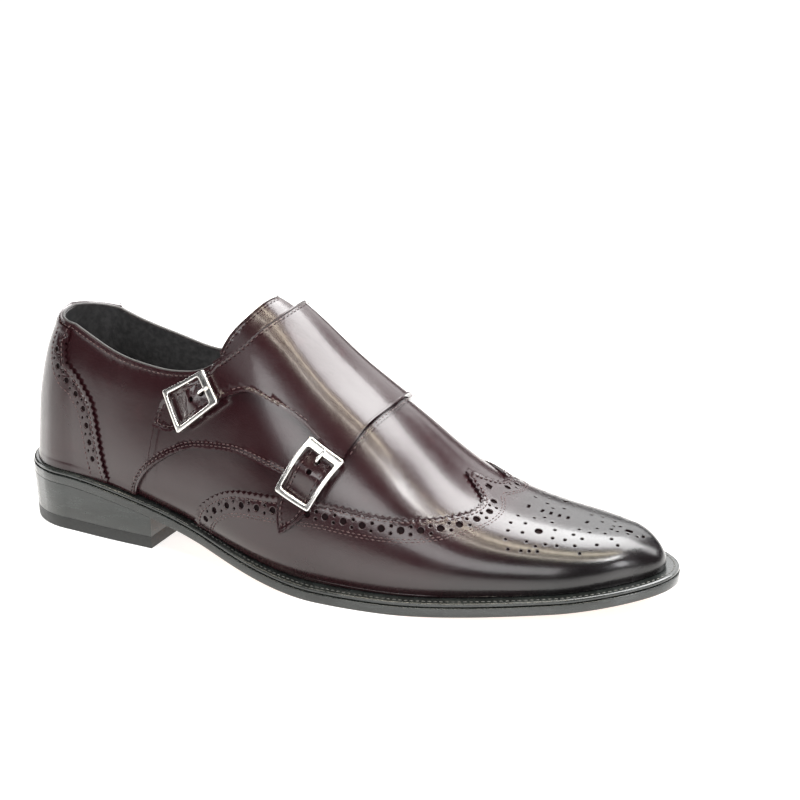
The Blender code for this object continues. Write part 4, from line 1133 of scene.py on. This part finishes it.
COUNTER_PITCH = 7.4
COUNTER_HOLE = 1.25
COUNTER_SPREAD = 1.5
COUNTER_BAND = 4.8
COUNTER_TEETH_TOP = 0.016
COUNTER_ENDS = 0.02
BACK_KEPT_CLEAR = 9.0


def make_counter():
    """The counter's medial half, pinked along its front and plain along the collar."""
    front = seam(COUNTER_FRONT, 1.0)
    edge = pinked(front, 1.0)
    top = collar_run(0.0, COUNTER_FRONT[-1][0], 1.0)
    collar = 1.0 - np.interp(edge[:, 0], top[:, 0], top[:, 1])
    below = edge[: np.nonzero(1.0 - edge[:, 1] > collar - COUNTER_TEETH_TOP)[0][0]]
    top = collar_run(0.0, below[-1][0] + 0.5, 1.0)
    limit = 1.0 - top[-1][1]
    outline = joined(below, top[::-1], [(0.0, 1.0)])
    band = shifted(even(front, LINE_STEP), -COUNTER_BAND)
    rise = 1.0 - band[:, 1]
    band = band[(rise > COUNTER_ENDS) & (rise < limit - COUNTER_ENDS) & (band[:, 0] > BACK_KEPT_CLEAR)]
    holes = holes_along(band, COUNTER_PITCH, COUNTER_HOLE, SMALL_HOLE, COUNTER_SPREAD)
    inner = skived(LAYER, ON_LAST)
    piece = leather_panel(
        "counter_leather", outline, inner, counter_outer, [oxblood, hole_painted_shade], holes, (0.0,), mirrored=True
    )
    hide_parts("counter")


def make_quarter_lateral():
    top = collar_run(SEAM_INSET, COLLAR[-1][0], -1.0)
    outline = joined(seam(QUARTER_LOWER, -1.0), seam(QUARTER_FRONT, -1.0), top[::-1], [(SEAM_INSET, -1.0)])
    piece = leather_panel("quarter_leather", outline, LAYER - SNUG, quarter_outer, [oxblood])
    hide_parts("quarter_lateral")


def make_monk_strap():
    collar = collar_run(SEAM_INSET, COLLAR_MEDIAL[-1][0], 1.0)
    outline = joined(
        collar,
        seam(STRAP_REAR, 1.0),
        seam(STRAP_REAR, -1.0)[::-1],
        arm_outline("upper")[::-1],
        seam(STRAP_CUTOUT, -1.0),
        arm_outline("lower")[::-1],
        seam(STRAP_FRONT, -1.0)[::-1],
        seam(STRAP_FRONT_MEDIAL, 1.0),
        seam(MEDIAL_LOWER, 1.0)[::-1],
        [(SEAM_INSET, 1.0)],
    )
    holes = []
    for row in BUCKLES:
        for along in (PRONG_AT, SPARE_HOLE_AT):
            holes.append(Hole(*arm_points(row.name, [(along, 0.0)])[0], PRONG_HOLE))
    piece = leather_panel("strap_leather", outline, strap_seat, strap_outer, [oxblood, hole_painted_shade], holes)
    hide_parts("monk_strap")


# Stitching
COLLAR_SEWN_FROM = 10.0


def make_stitching():
    """All stitches on the leather, each row a distance beside its seam."""
    bm = bmesh.new()
    lower = seam(QUARTER_LOWER, -1.0)
    for path, offset, depth in (
        (collar_run(COLLAR_SEWN_FROM, COLLAR[-1][0], -1.0), -1.7, quarter_outer),
        (lower, 1.6, ON_LAST),
        (lower, 2.9, ON_LAST),
        (collar_run(COLLAR_SEWN_FROM, COLLAR_MEDIAL[-1][0], 1.0), 1.7, strap_outer),
        (seam(MEDIAL_LOWER, 1.0), -1.6, strap_top),
        (seam(STRAP_REAR, -1.0), -1.8, strap_top),
        (seam(STRAP_REAR, 1.0), 1.8, strap_top),
        (seam(STRAP_FRONT, -1.0), 1.9, strap_top),
        (seam(STRAP_FRONT_MEDIAL, 1.0), -1.9, strap_top),
        (seam(STRAP_CUTOUT, -1.0), 1.9, strap_top),
    ):
        sew(bm, shifted(even(path, LINE_STEP), offset), depth)
    for row in BUCKLES:
        sew(bm, arm_outline(row.name, inset=1.9), strap_top)
    sew(bm, shifted(even(seam(TONGUE_REAR, -1.0), LINE_STEP), 1.8), -WALL - LAYER)
    for offset in (1.8, BAND_WIDTH - 1.1, BAND_WIDTH + 0.1):
        sew(bm, wing_line(offset), WING_OUTER)
    for side in (-1.0, 1.0):
        front = even(seam(COUNTER_FRONT, side), LINE_STEP)
        for offset in (1.8, 8.2):
            path = shifted(front, -side * offset)
            path = np.array([point for point in path if 0.0 < 1.0 - abs(point[1]) < 0.25 and point[0] > 2.0])
            sew(bm, path, counter_outer)
    bmesh.ops.recalc_face_normals(bm, faces=bm.faces)
    finished("stitching", bm, [thread], 180.0)


# Buckles
def bend_local(bm, row):
    """Bends a mesh in a buckle's local millimetres onto the shoe, its z as the depth."""
    forward, _ = PATCHES[row.name]
    local = np.array([vert.co for vert in bm.verts])
    station, place = forward(local[:, 0], local[:, 1])
    for vert, point in zip(bm.verts, skin(station, place, local[:, 2])):
        vert.co = point


def soften(bm, edges, width, segments=3):
    """Rounds edges off."""
    bmesh.ops.bevel(
        bm, geom=edges, offset=width, offset_type="OFFSET", segments=segments, profile=0.5, affect="EDGES",
        material=-1, clamp_overlap=True,
    )


def add_bar(bm, sides, length, middle, turn=Matrix()):
    """A round bar of the centre bar's thickness."""
    radius = CENTRE_BAR / 2
    bar = bmesh.ops.create_cone(
        bm, cap_ends=True, segments=sides, radius1=radius, radius2=radius, depth=length, matrix=turn
    )
    bmesh.ops.translate(bm, verts=bar["verts"], vec=middle)


def make_buckle(row):
    """A flat cast frame with a wide front bar, soft edges and a centre bar under the strap."""
    bm = bmesh.new()
    half, side = BUCKLE_LENGTH / 2, BUCKLE_WIDTH / 2
    bmesh.ops.create_grid(bm, x_segments=1, y_segments=1, size=1.0)
    for vert in bm.verts:
        vert.co = (vert.co.x * half, vert.co.y * side, FRAME_LOW)
    window = bmesh.ops.inset_region(
        bm, faces=bm.faces[:], thickness=SIDE_BAR, use_boundary=True, use_even_offset=True
    )
    inner = [face for face in bm.faces if face not in window["faces"]][0]
    for vert in inner.verts:
        vert.co.x = half - FRONT_BAR if vert.co.x > 0 else -half + REAR_BAR
    bmesh.ops.delete(bm, geom=[inner], context="FACES_ONLY")
    loose = bmesh.ops.extrude_face_region(bm, geom=bm.faces[:], use_keep_orig=True)["geom"]
    for vert in only(VERT, loose):
        vert.co.z = FRAME_HIGH
    bmesh.ops.recalc_face_normals(bm, faces=bm.faces)
    corners = [edge for edge in bm.edges if abs(edge.verts[0].co.z - edge.verts[1].co.z) > 1.0]
    soften(bm, corners, CORNER_ROUND, 4)
    rims = [edge for edge in bm.edges if len(edge.link_faces) == 2 and edge.calc_face_angle() > 1.0]
    soften(bm, rims, RIM_ROUND)
    cut_net(bm, ALONG, np.linspace(-half, half, 13)[1:-1], 0.0)
    cut_net(bm, ACROSS, np.linspace(-side, side, 9)[1:-1], 0.0)
    middle = Vector((0.0, 0.0, ON_QUARTER + CENTRE_BAR / 2))
    add_bar(bm, 16, BUCKLE_WIDTH - SIDE_BAR, middle, Matrix.Rotation(math.pi / 2, 4, "X"))
    for end in (-1.0, 1.0):
        middle = Vector((0.0, end * (side - SIDE_BAR / 2), (POST_TOP + ON_QUARTER) / 2))
        add_bar(bm, 14, POST_TOP - ON_QUARTER, middle)
    bend_local(bm, row)
    piece = finished(f"frame_{row.name}", bm, [nickel], 35.0)
    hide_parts(f"buckle_{row.name}")


def make_prong(row):
    """The prong comes up through the arm's hole and lies over the front bar."""
    bm = bmesh.new()
    top, front = PRONG_TOP, BUCKLE_LENGTH / 2
    path = [
        (PRONG_AT, ON_QUARTER + 0.8), (PRONG_AT + 0.05, top - 1.4), (PRONG_AT + 0.45, top - 0.5),
        (PRONG_AT + 1.3, top), (front - 2.2, top), (front - 0.9, top - 0.15),
    ]
    ring = bmesh.ops.create_circle(bm, cap_ends=True, segments=PRONG_SIDES, radius=PRONG_RADIUS)
    face = next(iter(bm.faces))
    bmesh.ops.translate(bm, verts=ring["verts"], vec=(path[0][0], 0.0, path[0][1]))
    for i, (x, z) in enumerate(path[1:], start=1):
        face = bmesh.ops.extrude_discrete_faces(bm, faces=[face])["faces"][0]
        before, after = path[i - 1], path[min(i + 1, len(path) - 1)]
        way = Vector((after[0] - before[0], 0.0, after[1] - before[1])).normalized()
        radius = PRONG_RADIUS if i < len(path) - 1 else PRONG_RADIUS * PRONG_END
        turn = Vector((0.0, 0.0, 1.0)).rotation_difference(way).to_matrix()
        for k, vert in enumerate(face.verts):
            angle = 2 * math.pi * k / PRONG_SIDES
            vert.co = Vector((x, 0.0, z)) + turn @ Vector((math.cos(angle), math.sin(angle), 0.0)) * radius
    bmesh.ops.recalc_face_normals(bm, faces=bm.faces)
    bend_local(bm, row)
    piece = finished(f"pin_{row.name}", bm, [nickel], 40.0)
    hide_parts(f"prong_{row.name}")


# Binding and sock
BINDING_RADIUS = 0.62
BINDING_STEP = 2.2


def closed_cord(bm, places, normals, radius, sides=8):
    """A closed cord through places in millimetres. Its rings are turned to the normals there."""
    ways = np.roll(places, -1, axis=0) - np.roll(places, 1, axis=0)
    first = list(bmesh.ops.create_circle(bm, segments=sides, radius=1.0)["verts"])
    rings = [first]
    edges = [bm.edges.get((first[i], first[(i + 1) % sides])) for i in range(sides)]
    for _ in range(len(places) - 1):
        grown = bmesh.ops.extrude_edge_only(bm, edges=edges)["geom"]
        verts, edges = only(VERT, grown), only(EDGE, grown)
        rings.append(verts)
    for i, verts in enumerate(rings):
        way, normal = Vector(ways[i]).normalized(), Vector(normals[i])
        side = normal.cross(way).normalized()
        normal = way.cross(side)
        for k, vert in enumerate(verts):
            angle = 2 * math.pi * k / sides
            vert.co = Vector(places[i]) + side * math.cos(angle) * radius + normal * math.sin(angle) * radius
    ends = [(ring[i], ring[(i + 1) % sides]) for ring in (first, rings[-1]) for i in range(sides)]
    bmesh.ops.bridge_loops(bm, edges=[bm.edges.get(pair) for pair in ends])


def make_binding():
    """The rolled lining edge that shows as a thin black line round the collar."""
    lateral, medial = seam(COLLAR, -1.0), seam(COLLAR_MEDIAL, 1.0)
    throat_left, throat_right = seam(THROAT, -1.0), seam(THROAT, 1.0)
    loop = np.vstack([lateral, throat_left, throat_right[::-1], medial[::-1][:-1]])
    path = even(loop, BINDING_STEP)[:-1]
    places = skin(path[:, 0], path[:, 1], np.full(len(path), -WALL / 2))
    bm = bmesh.new()
    closed_cord(bm, places, last_normal(path[:, 0], path[:, 1]), BINDING_RADIUS)
    bmesh.ops.recalc_face_normals(bm, faces=bm.faces)
    finished("collar_binding", bm, [lining], 180.0)


DRAWN_HEIGHT = 10.0
PLAN_START = 0.37
HAIRLINE = 0.02


def plan_piece(name, outline, bottom, top, materials, round_off, taper=None):
    """A flat-sided piece on a plan outline between two heights that follow x, with rounded edges."""
    bm = bmesh.new()
    face = flat_face(bm, outline)
    lifted = bmesh.ops.extrude_face_region(bm, geom=[face], use_keep_orig=True)["geom"]
    bmesh.ops.reverse_faces(bm, faces=[face])
    upper_face = only(FACE, lifted)[0]
    for vert in upper_face.verts:
        vert.co.z = DRAWN_HEIGHT
    rims = list(set(face.edges) | set(upper_face.edges))
    bm.normal_update()
    bmesh.ops.recalc_face_normals(bm, faces=bm.faces)
    soften(bm, rims, round_off)
    low = min(vert.co.x for vert in bm.verts)
    high = max(vert.co.x for vert in bm.verts)
    cut_net(bm, ALONG, np.arange(low + PLAN_START, high, PLAN_STEP), 0.01)
    cut_net(bm, ACROSS, np.arange(-FLAT_HALF, FLAT_HALF, PLAN_STEP), 0.01, level=0.99)
    bmesh.ops.triangulate(bm, faces=bm.faces)
    bmesh.ops.remove_doubles(bm, verts=bm.verts, dist=0.02)
    bmesh.ops.dissolve_degenerate(bm, edges=bm.edges, dist=0.02)
    for vert in bm.verts:
        x, y, z = vert.co
        level = float(bottom(x)) + z if z < DRAWN_HEIGHT / 2 else float(top(x)) - (DRAWN_HEIGHT - z)
        if taper:
            x, y = taper(x, y, level)
        vert.co = (x, y, level)
    bmesh.ops.recalc_face_normals(bm, faces=bm.faces)
    return finished(name, bm, materials, 40.0)


def welt_inner_margin(station):
    return -WALL - GAP - allowance(station, 1.0)


def make_sock():
    outline = sole_ring(lambda station: welt_inner_margin(station) - GAP - LAYER)

    def bottom(x):
        return underside(x) + OUTSOLE + GAP

    piece = plan_piece("sock", outline, bottom, lambda x: bottom(x) + INSOLE, [sock], 0.6)
    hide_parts("insole")


# Welt, sole and heel
WELT_STITCH = 2.4
WELT_STITCH_INSET = 2.3
WELT_SEWN_FROM = 96.0
# The welt's rounded edge: how far inside the sole's margin, and how high over the welt's underside
WELT_EDGE = (
    (0.9, 0.0), (0.55, 0.1), (0.35, 0.4), (0.35, WELT - 0.7), (0.5, WELT - 0.32), (0.95, WELT - 0.06),
    (1.4, WELT),
)


def edge_strip(name, materials, profile):
    """A closed strip round the sole, through pairs of a margin and a height over the underside."""
    bm = bmesh.new()
    loops = []
    for margin, level in profile:
        outline = sole_ring(margin)
        circle = bmesh.ops.create_circle(bm, segments=len(outline), radius=1.0)["verts"]
        for vert, (x, y) in zip(circle, outline):
            vert.co = (x, y, float(underside(x)) + level)
        loops.append([bm.edges.get((circle[i - 1], circle[i])) for i in range(len(circle))])
    for i in range(len(loops)):
        bmesh.ops.bridge_loops(bm, edges=loops[i - 1] + loops[i])
    bmesh.ops.recalc_face_normals(bm, faces=bm.faces)
    return finished(name, bm, materials, 40.0)


def margin_less(drop):
    return lambda station: sole_margin(station) - drop


def make_welt():
    low = OUTSOLE + GAP
    profile = [(margin_less(drop), low + rise) for drop, rise in WELT_EDGE]
    profile += [(welt_inner_margin, low + WELT), (welt_inner_margin, low)]
    piece = edge_strip("welt_strip", [edge_black], profile)
    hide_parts("welt")


def make_welt_stitching():
    bm = bmesh.new()
    stations = np.linspace(WELT_SEWN_FROM, LAST_LENGTH - 0.2, 260)
    stations = np.concatenate([stations, LAST_LENGTH - TIP_LENGTH * np.linspace(0.4, 0.0, 20) ** 2])
    stations.sort()
    margin = sole_margin(stations) - WELT_STITCH_INSET
    lateral = np.stack(edge_point(stations, -1.0, margin), axis=-1)
    medial = np.stack(edge_point(stations, 1.0, margin), axis=-1)
    run = np.vstack([lateral, medial[::-1]])
    way = np.concatenate([[0.0], np.cumsum(np.hypot(*np.diff(run, axis=0).T))])
    count = int(way[-1] / WELT_STITCH)
    places = np.linspace(0.0, way[-1], count)
    xs, ys = (np.interp(places, way, run[:, i]) for i in (0, 1))
    for i in range(count - 1):
        x, y = (xs[i] + xs[i + 1]) / 2, (ys[i] + ys[i + 1]) / 2
        climb = float(underside(xs[i + 1]) - underside(xs[i]))
        heading = Vector((xs[i + 1] - xs[i], ys[i + 1] - ys[i], climb)).normalized()
        side = Vector((0.0, 0.0, 1.0)).cross(heading).normalized()
        middle = Vector((x, y, float(underside(x)) + OUTSOLE + GAP + WELT + HAIRLINE))
        lay_stitch(bm, middle, (heading, side, heading.cross(side)), (WELT_STITCH * 0.4, 0.3, 0.26))
    bmesh.ops.recalc_face_normals(bm, faces=bm.faces)
    finished("welt_stitching", bm, [pale_thread], 180.0)


HEEL_OVERLAP = 1.0
HEEL_FRONT = (HEEL_LENGTH - HEEL_OVERLAP - CENTRE[0]) * MM


def make_outsole():
    """The outsole's slab, with its underside left as plain leather and its edge waxed black."""

    def top(x):
        return underside(x) + OUTSOLE

    piece = plan_piece("sole_slab", sole_ring(sole_margin), underside, top, [edge_black, tan], 0.3)
    for face in piece.data.polygons:
        if face.normal.z < -0.9 and face.center.x > HEEL_FRONT:
            face.material_index = 1
    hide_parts("outsole")


def heel_outline():
    ring = sole_ring(sole_margin)
    half = len(ring) // 2
    lateral = [point for point in ring[: half + 1] if point[0] < HEEL_LENGTH]
    medial = [point for point in ring[half + 1 :] if point[0] < HEEL_LENGTH]
    sides = []
    for side in (-1.0, 1.0):
        _, y = edge_point(HEEL_LENGTH, side, float(sole_margin(HEEL_LENGTH)))
        sides.append((HEEL_LENGTH, float(y)))
    return lateral + sides + medial


def heel_draft(x, y, level):
    """The heel's draft, in towards the ground."""
    middle_x, middle_y = HEEL_LENGTH / 2, float(centre_line(HEEL_LENGTH / 2))
    share = 1.0 - level / HEEL_HEIGHT
    shrink = 1.0 - HEEL_TAPER * max(share, 0.0) / math.hypot(HEEL_LENGTH / 2, BALL_WIDTH / 3)
    return middle_x + (x - middle_x) * shrink, middle_y + (y - middle_y) * shrink


def make_heel():
    """The heel's block, smoothed and waxed as one with the sole's edge, over a rubber top piece."""

    def seat(x):
        return underside(x) - HAIRLINE

    def joint(x):
        return TOP_PIECE + HAIRLINE

    outline = heel_outline()
    piece = plan_piece("heel_stack", outline, joint, seat, [heel_black], 0.07, heel_draft)
    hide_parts("heel_block")
    piece = plan_piece(
        "heel_top_piece", outline, lambda x: 0.0, lambda x: TOP_PIECE, [rubber], 0.15, heel_draft
    )
    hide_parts("top_piece")


make_upper()
make_tongue()
make_wing_tip()
make_counter()
make_quarter_lateral()
make_monk_strap()
make_stitching()
make_binding()
make_sock()
make_welt()
make_welt_stitching()
make_outsole()
make_heel()
for buckle in BUCKLES:
    make_buckle(buckle)
    make_prong(buckle)


# Floor, light and camera
FLOOR_GLOW = 0.78
FLOOR_FAR_GLOW = 1.0
# The floor darkens beyond a line in front of the shoe, so that the leather has something dark to mirror.
SHADE_OFFSET_X = 0.15
SHADE_OFFSET_Y = 0.03
SHADE_SLOPE_X = 0.63
SHADE_SLOPE_Y = 0.777
SHADE_SOFTNESS = 0.12
SHADE_RADII = (0.34, 0.55)
SHADE_STRENGTH = 0.88


def make_floor():
    bm = bmesh.new()
    bmesh.ops.create_grid(bm, x_segments=8, y_segments=8, size=6.0)
    mesh = as_mesh("studio_floor", bm)
    material, tree, shader, place = new_material("pale_floor")
    spots = noise(tree, place, 24.0, 3.0)
    tree.links.new(blend(tree, spots, (0.48, 0.48, 0.48), (0.52, 0.52, 0.515)), shader.inputs["Base Color"])
    tree.links.new(span(tree, spots, 0.3, 0.7, 0.28, 0.36), shader.inputs["Roughness"])
    shader.inputs["Emission Color"].default_value = (1.0, 1.0, 1.0, 1.0)
    split = tree.nodes.new("ShaderNodeSeparateXYZ")
    tree.links.new(place, split.inputs[0])
    x, y = split.outputs["X"], split.outputs["Y"]
    along = maths(tree, "MULTIPLY", maths(tree, "ADD", x, SHADE_OFFSET_X), SHADE_SLOPE_X)
    across = maths(tree, "MULTIPLY", maths(tree, "ADD", y, SHADE_OFFSET_Y), SHADE_SLOPE_Y)
    beyond = span(tree, maths(tree, "SUBTRACT", along, across), 0.0, SHADE_SOFTNESS)
    away = add_node(tree, "ShaderNodeVectorMath", {"operation": "LENGTH"})
    tree.links.new(place, away.inputs[0])
    glow = span(tree, away.outputs["Value"], 0.3, 1.2, FLOOR_GLOW, FLOOR_FAR_GLOW)
    shade = maths(tree, "MULTIPLY", beyond, span(tree, away.outputs["Value"], *SHADE_RADII))
    left = maths(tree, "SUBTRACT", 1.0, maths(tree, "MULTIPLY", shade, SHADE_STRENGTH))
    glow = maths(tree, "MULTIPLY", glow, left)
    tree.links.new(glow, shader.inputs["Emission Strength"])
    mesh.materials.append(material)
    floor = set_out("studio_floor", mesh)


def add_light(name, size, power, place, target, colour=(1.0, 1.0, 1.0)):
    data = bpy.data.lights.new(name, "AREA")
    data.shape = "RECTANGLE"
    data.size, data.size_y = size
    data.energy = power
    data.color = colour
    lamp = set_out(name, data)
    lamp.location = place
    lamp.rotation_euler = (Vector(place) - Vector(target)).to_track_quat("Z", "Y").to_euler()


CAMERA_AZIMUTH = math.radians(24.414)
CAMERA_ELEVATION = math.radians(19.377)
CAMERA_ROLL = math.radians(-0.21)
CAMERA_DISTANCE = 734.645
CAMERA_TARGET = (170.523, 21.882, 65.163)
CAMERA_LENS = 76.19


def place_camera():
    azimuth, elevation, roll = CAMERA_AZIMUTH, CAMERA_ELEVATION, CAMERA_ROLL
    level = math.cos(elevation)
    back = Vector((math.sin(azimuth) * level, -math.cos(azimuth) * level, math.sin(elevation)))
    right = Vector((math.cos(azimuth), math.sin(azimuth), 0.0))
    up = back.cross(right)
    across = right * math.cos(roll) + up * math.sin(roll)
    over = up * math.cos(roll) - right * math.sin(roll)
    target = Vector((CAMERA_TARGET[0] - CENTRE[0], CAMERA_TARGET[1] - CENTRE[1], CAMERA_TARGET[2]))
    data = bpy.data.cameras.new("studio_camera")
    data.sensor_width, data.lens = 36.0, CAMERA_LENS
    camera = set_out("studio_camera", data)
    turn = Matrix((across, over, back)).transposed().to_4x4()
    camera.matrix_world = Matrix.Translation((target + back * CAMERA_DISTANCE) * MM) @ turn
    bpy.context.scene.camera = camera


make_floor()
world = bpy.data.worlds.new("studio_air")
world.use_nodes = True
world.node_tree.nodes["Background"].inputs["Color"].default_value = (0.9, 0.93, 1.0, 1.0)
world.node_tree.nodes["Background"].inputs["Strength"].default_value = 0.05
bpy.context.scene.world = world
bpy.context.scene.view_settings.view_transform = "Standard"
add_light("softbox_above", (1.3, 0.7), 34.0, (0.15, 0.66, 1.08), (0.02, 0.0, 0.05))
add_light("softbox_back", (2.2, 1.0), 16.0, (-0.5, 1.6, 0.95), (0.0, 0.0, 0.05))
add_light("strip_warm", (1.3, 0.09), 8.0, (0.0, 0.02, 1.15), (0.0, 0.0, 0.05), (1.0, 0.9, 0.72))
add_light("strip_near", (1.3, 0.08), 5.5, (0.0, -0.3, 1.1), (0.0, 0.0, 0.05), (1.0, 0.93, 0.8))
add_light("softbox_front", (0.3, 0.5), 5.0, (1.2, -0.5, 0.5), (0.08, 0.0, 0.05), (0.97, 0.98, 1.0))
add_light("softbox_toe", (0.5, 0.5), 4.5, (0.85, 0.78, 0.66), (0.1, 0.0, 0.04))
add_light("softbox_side", (1.1, 0.6), 11.0, (0.05, -1.25, 0.72), (0.02, 0.0, 0.05))
add_light("strip_vamp", (0.34, 0.14), 6.0, (0.70, -0.25, 1.02), (0.06, -0.03, 0.05))
add_light("softbox_rear", (0.3, 0.4), 2.4, (-1.15, -0.05, 0.34), (-0.1, 0.0, 0.05))
add_light("card_left", (0.5, 0.45), 0.8, (-0.75, -0.85, 0.75), (0.0, 0.0, 0.05))
place_camera()
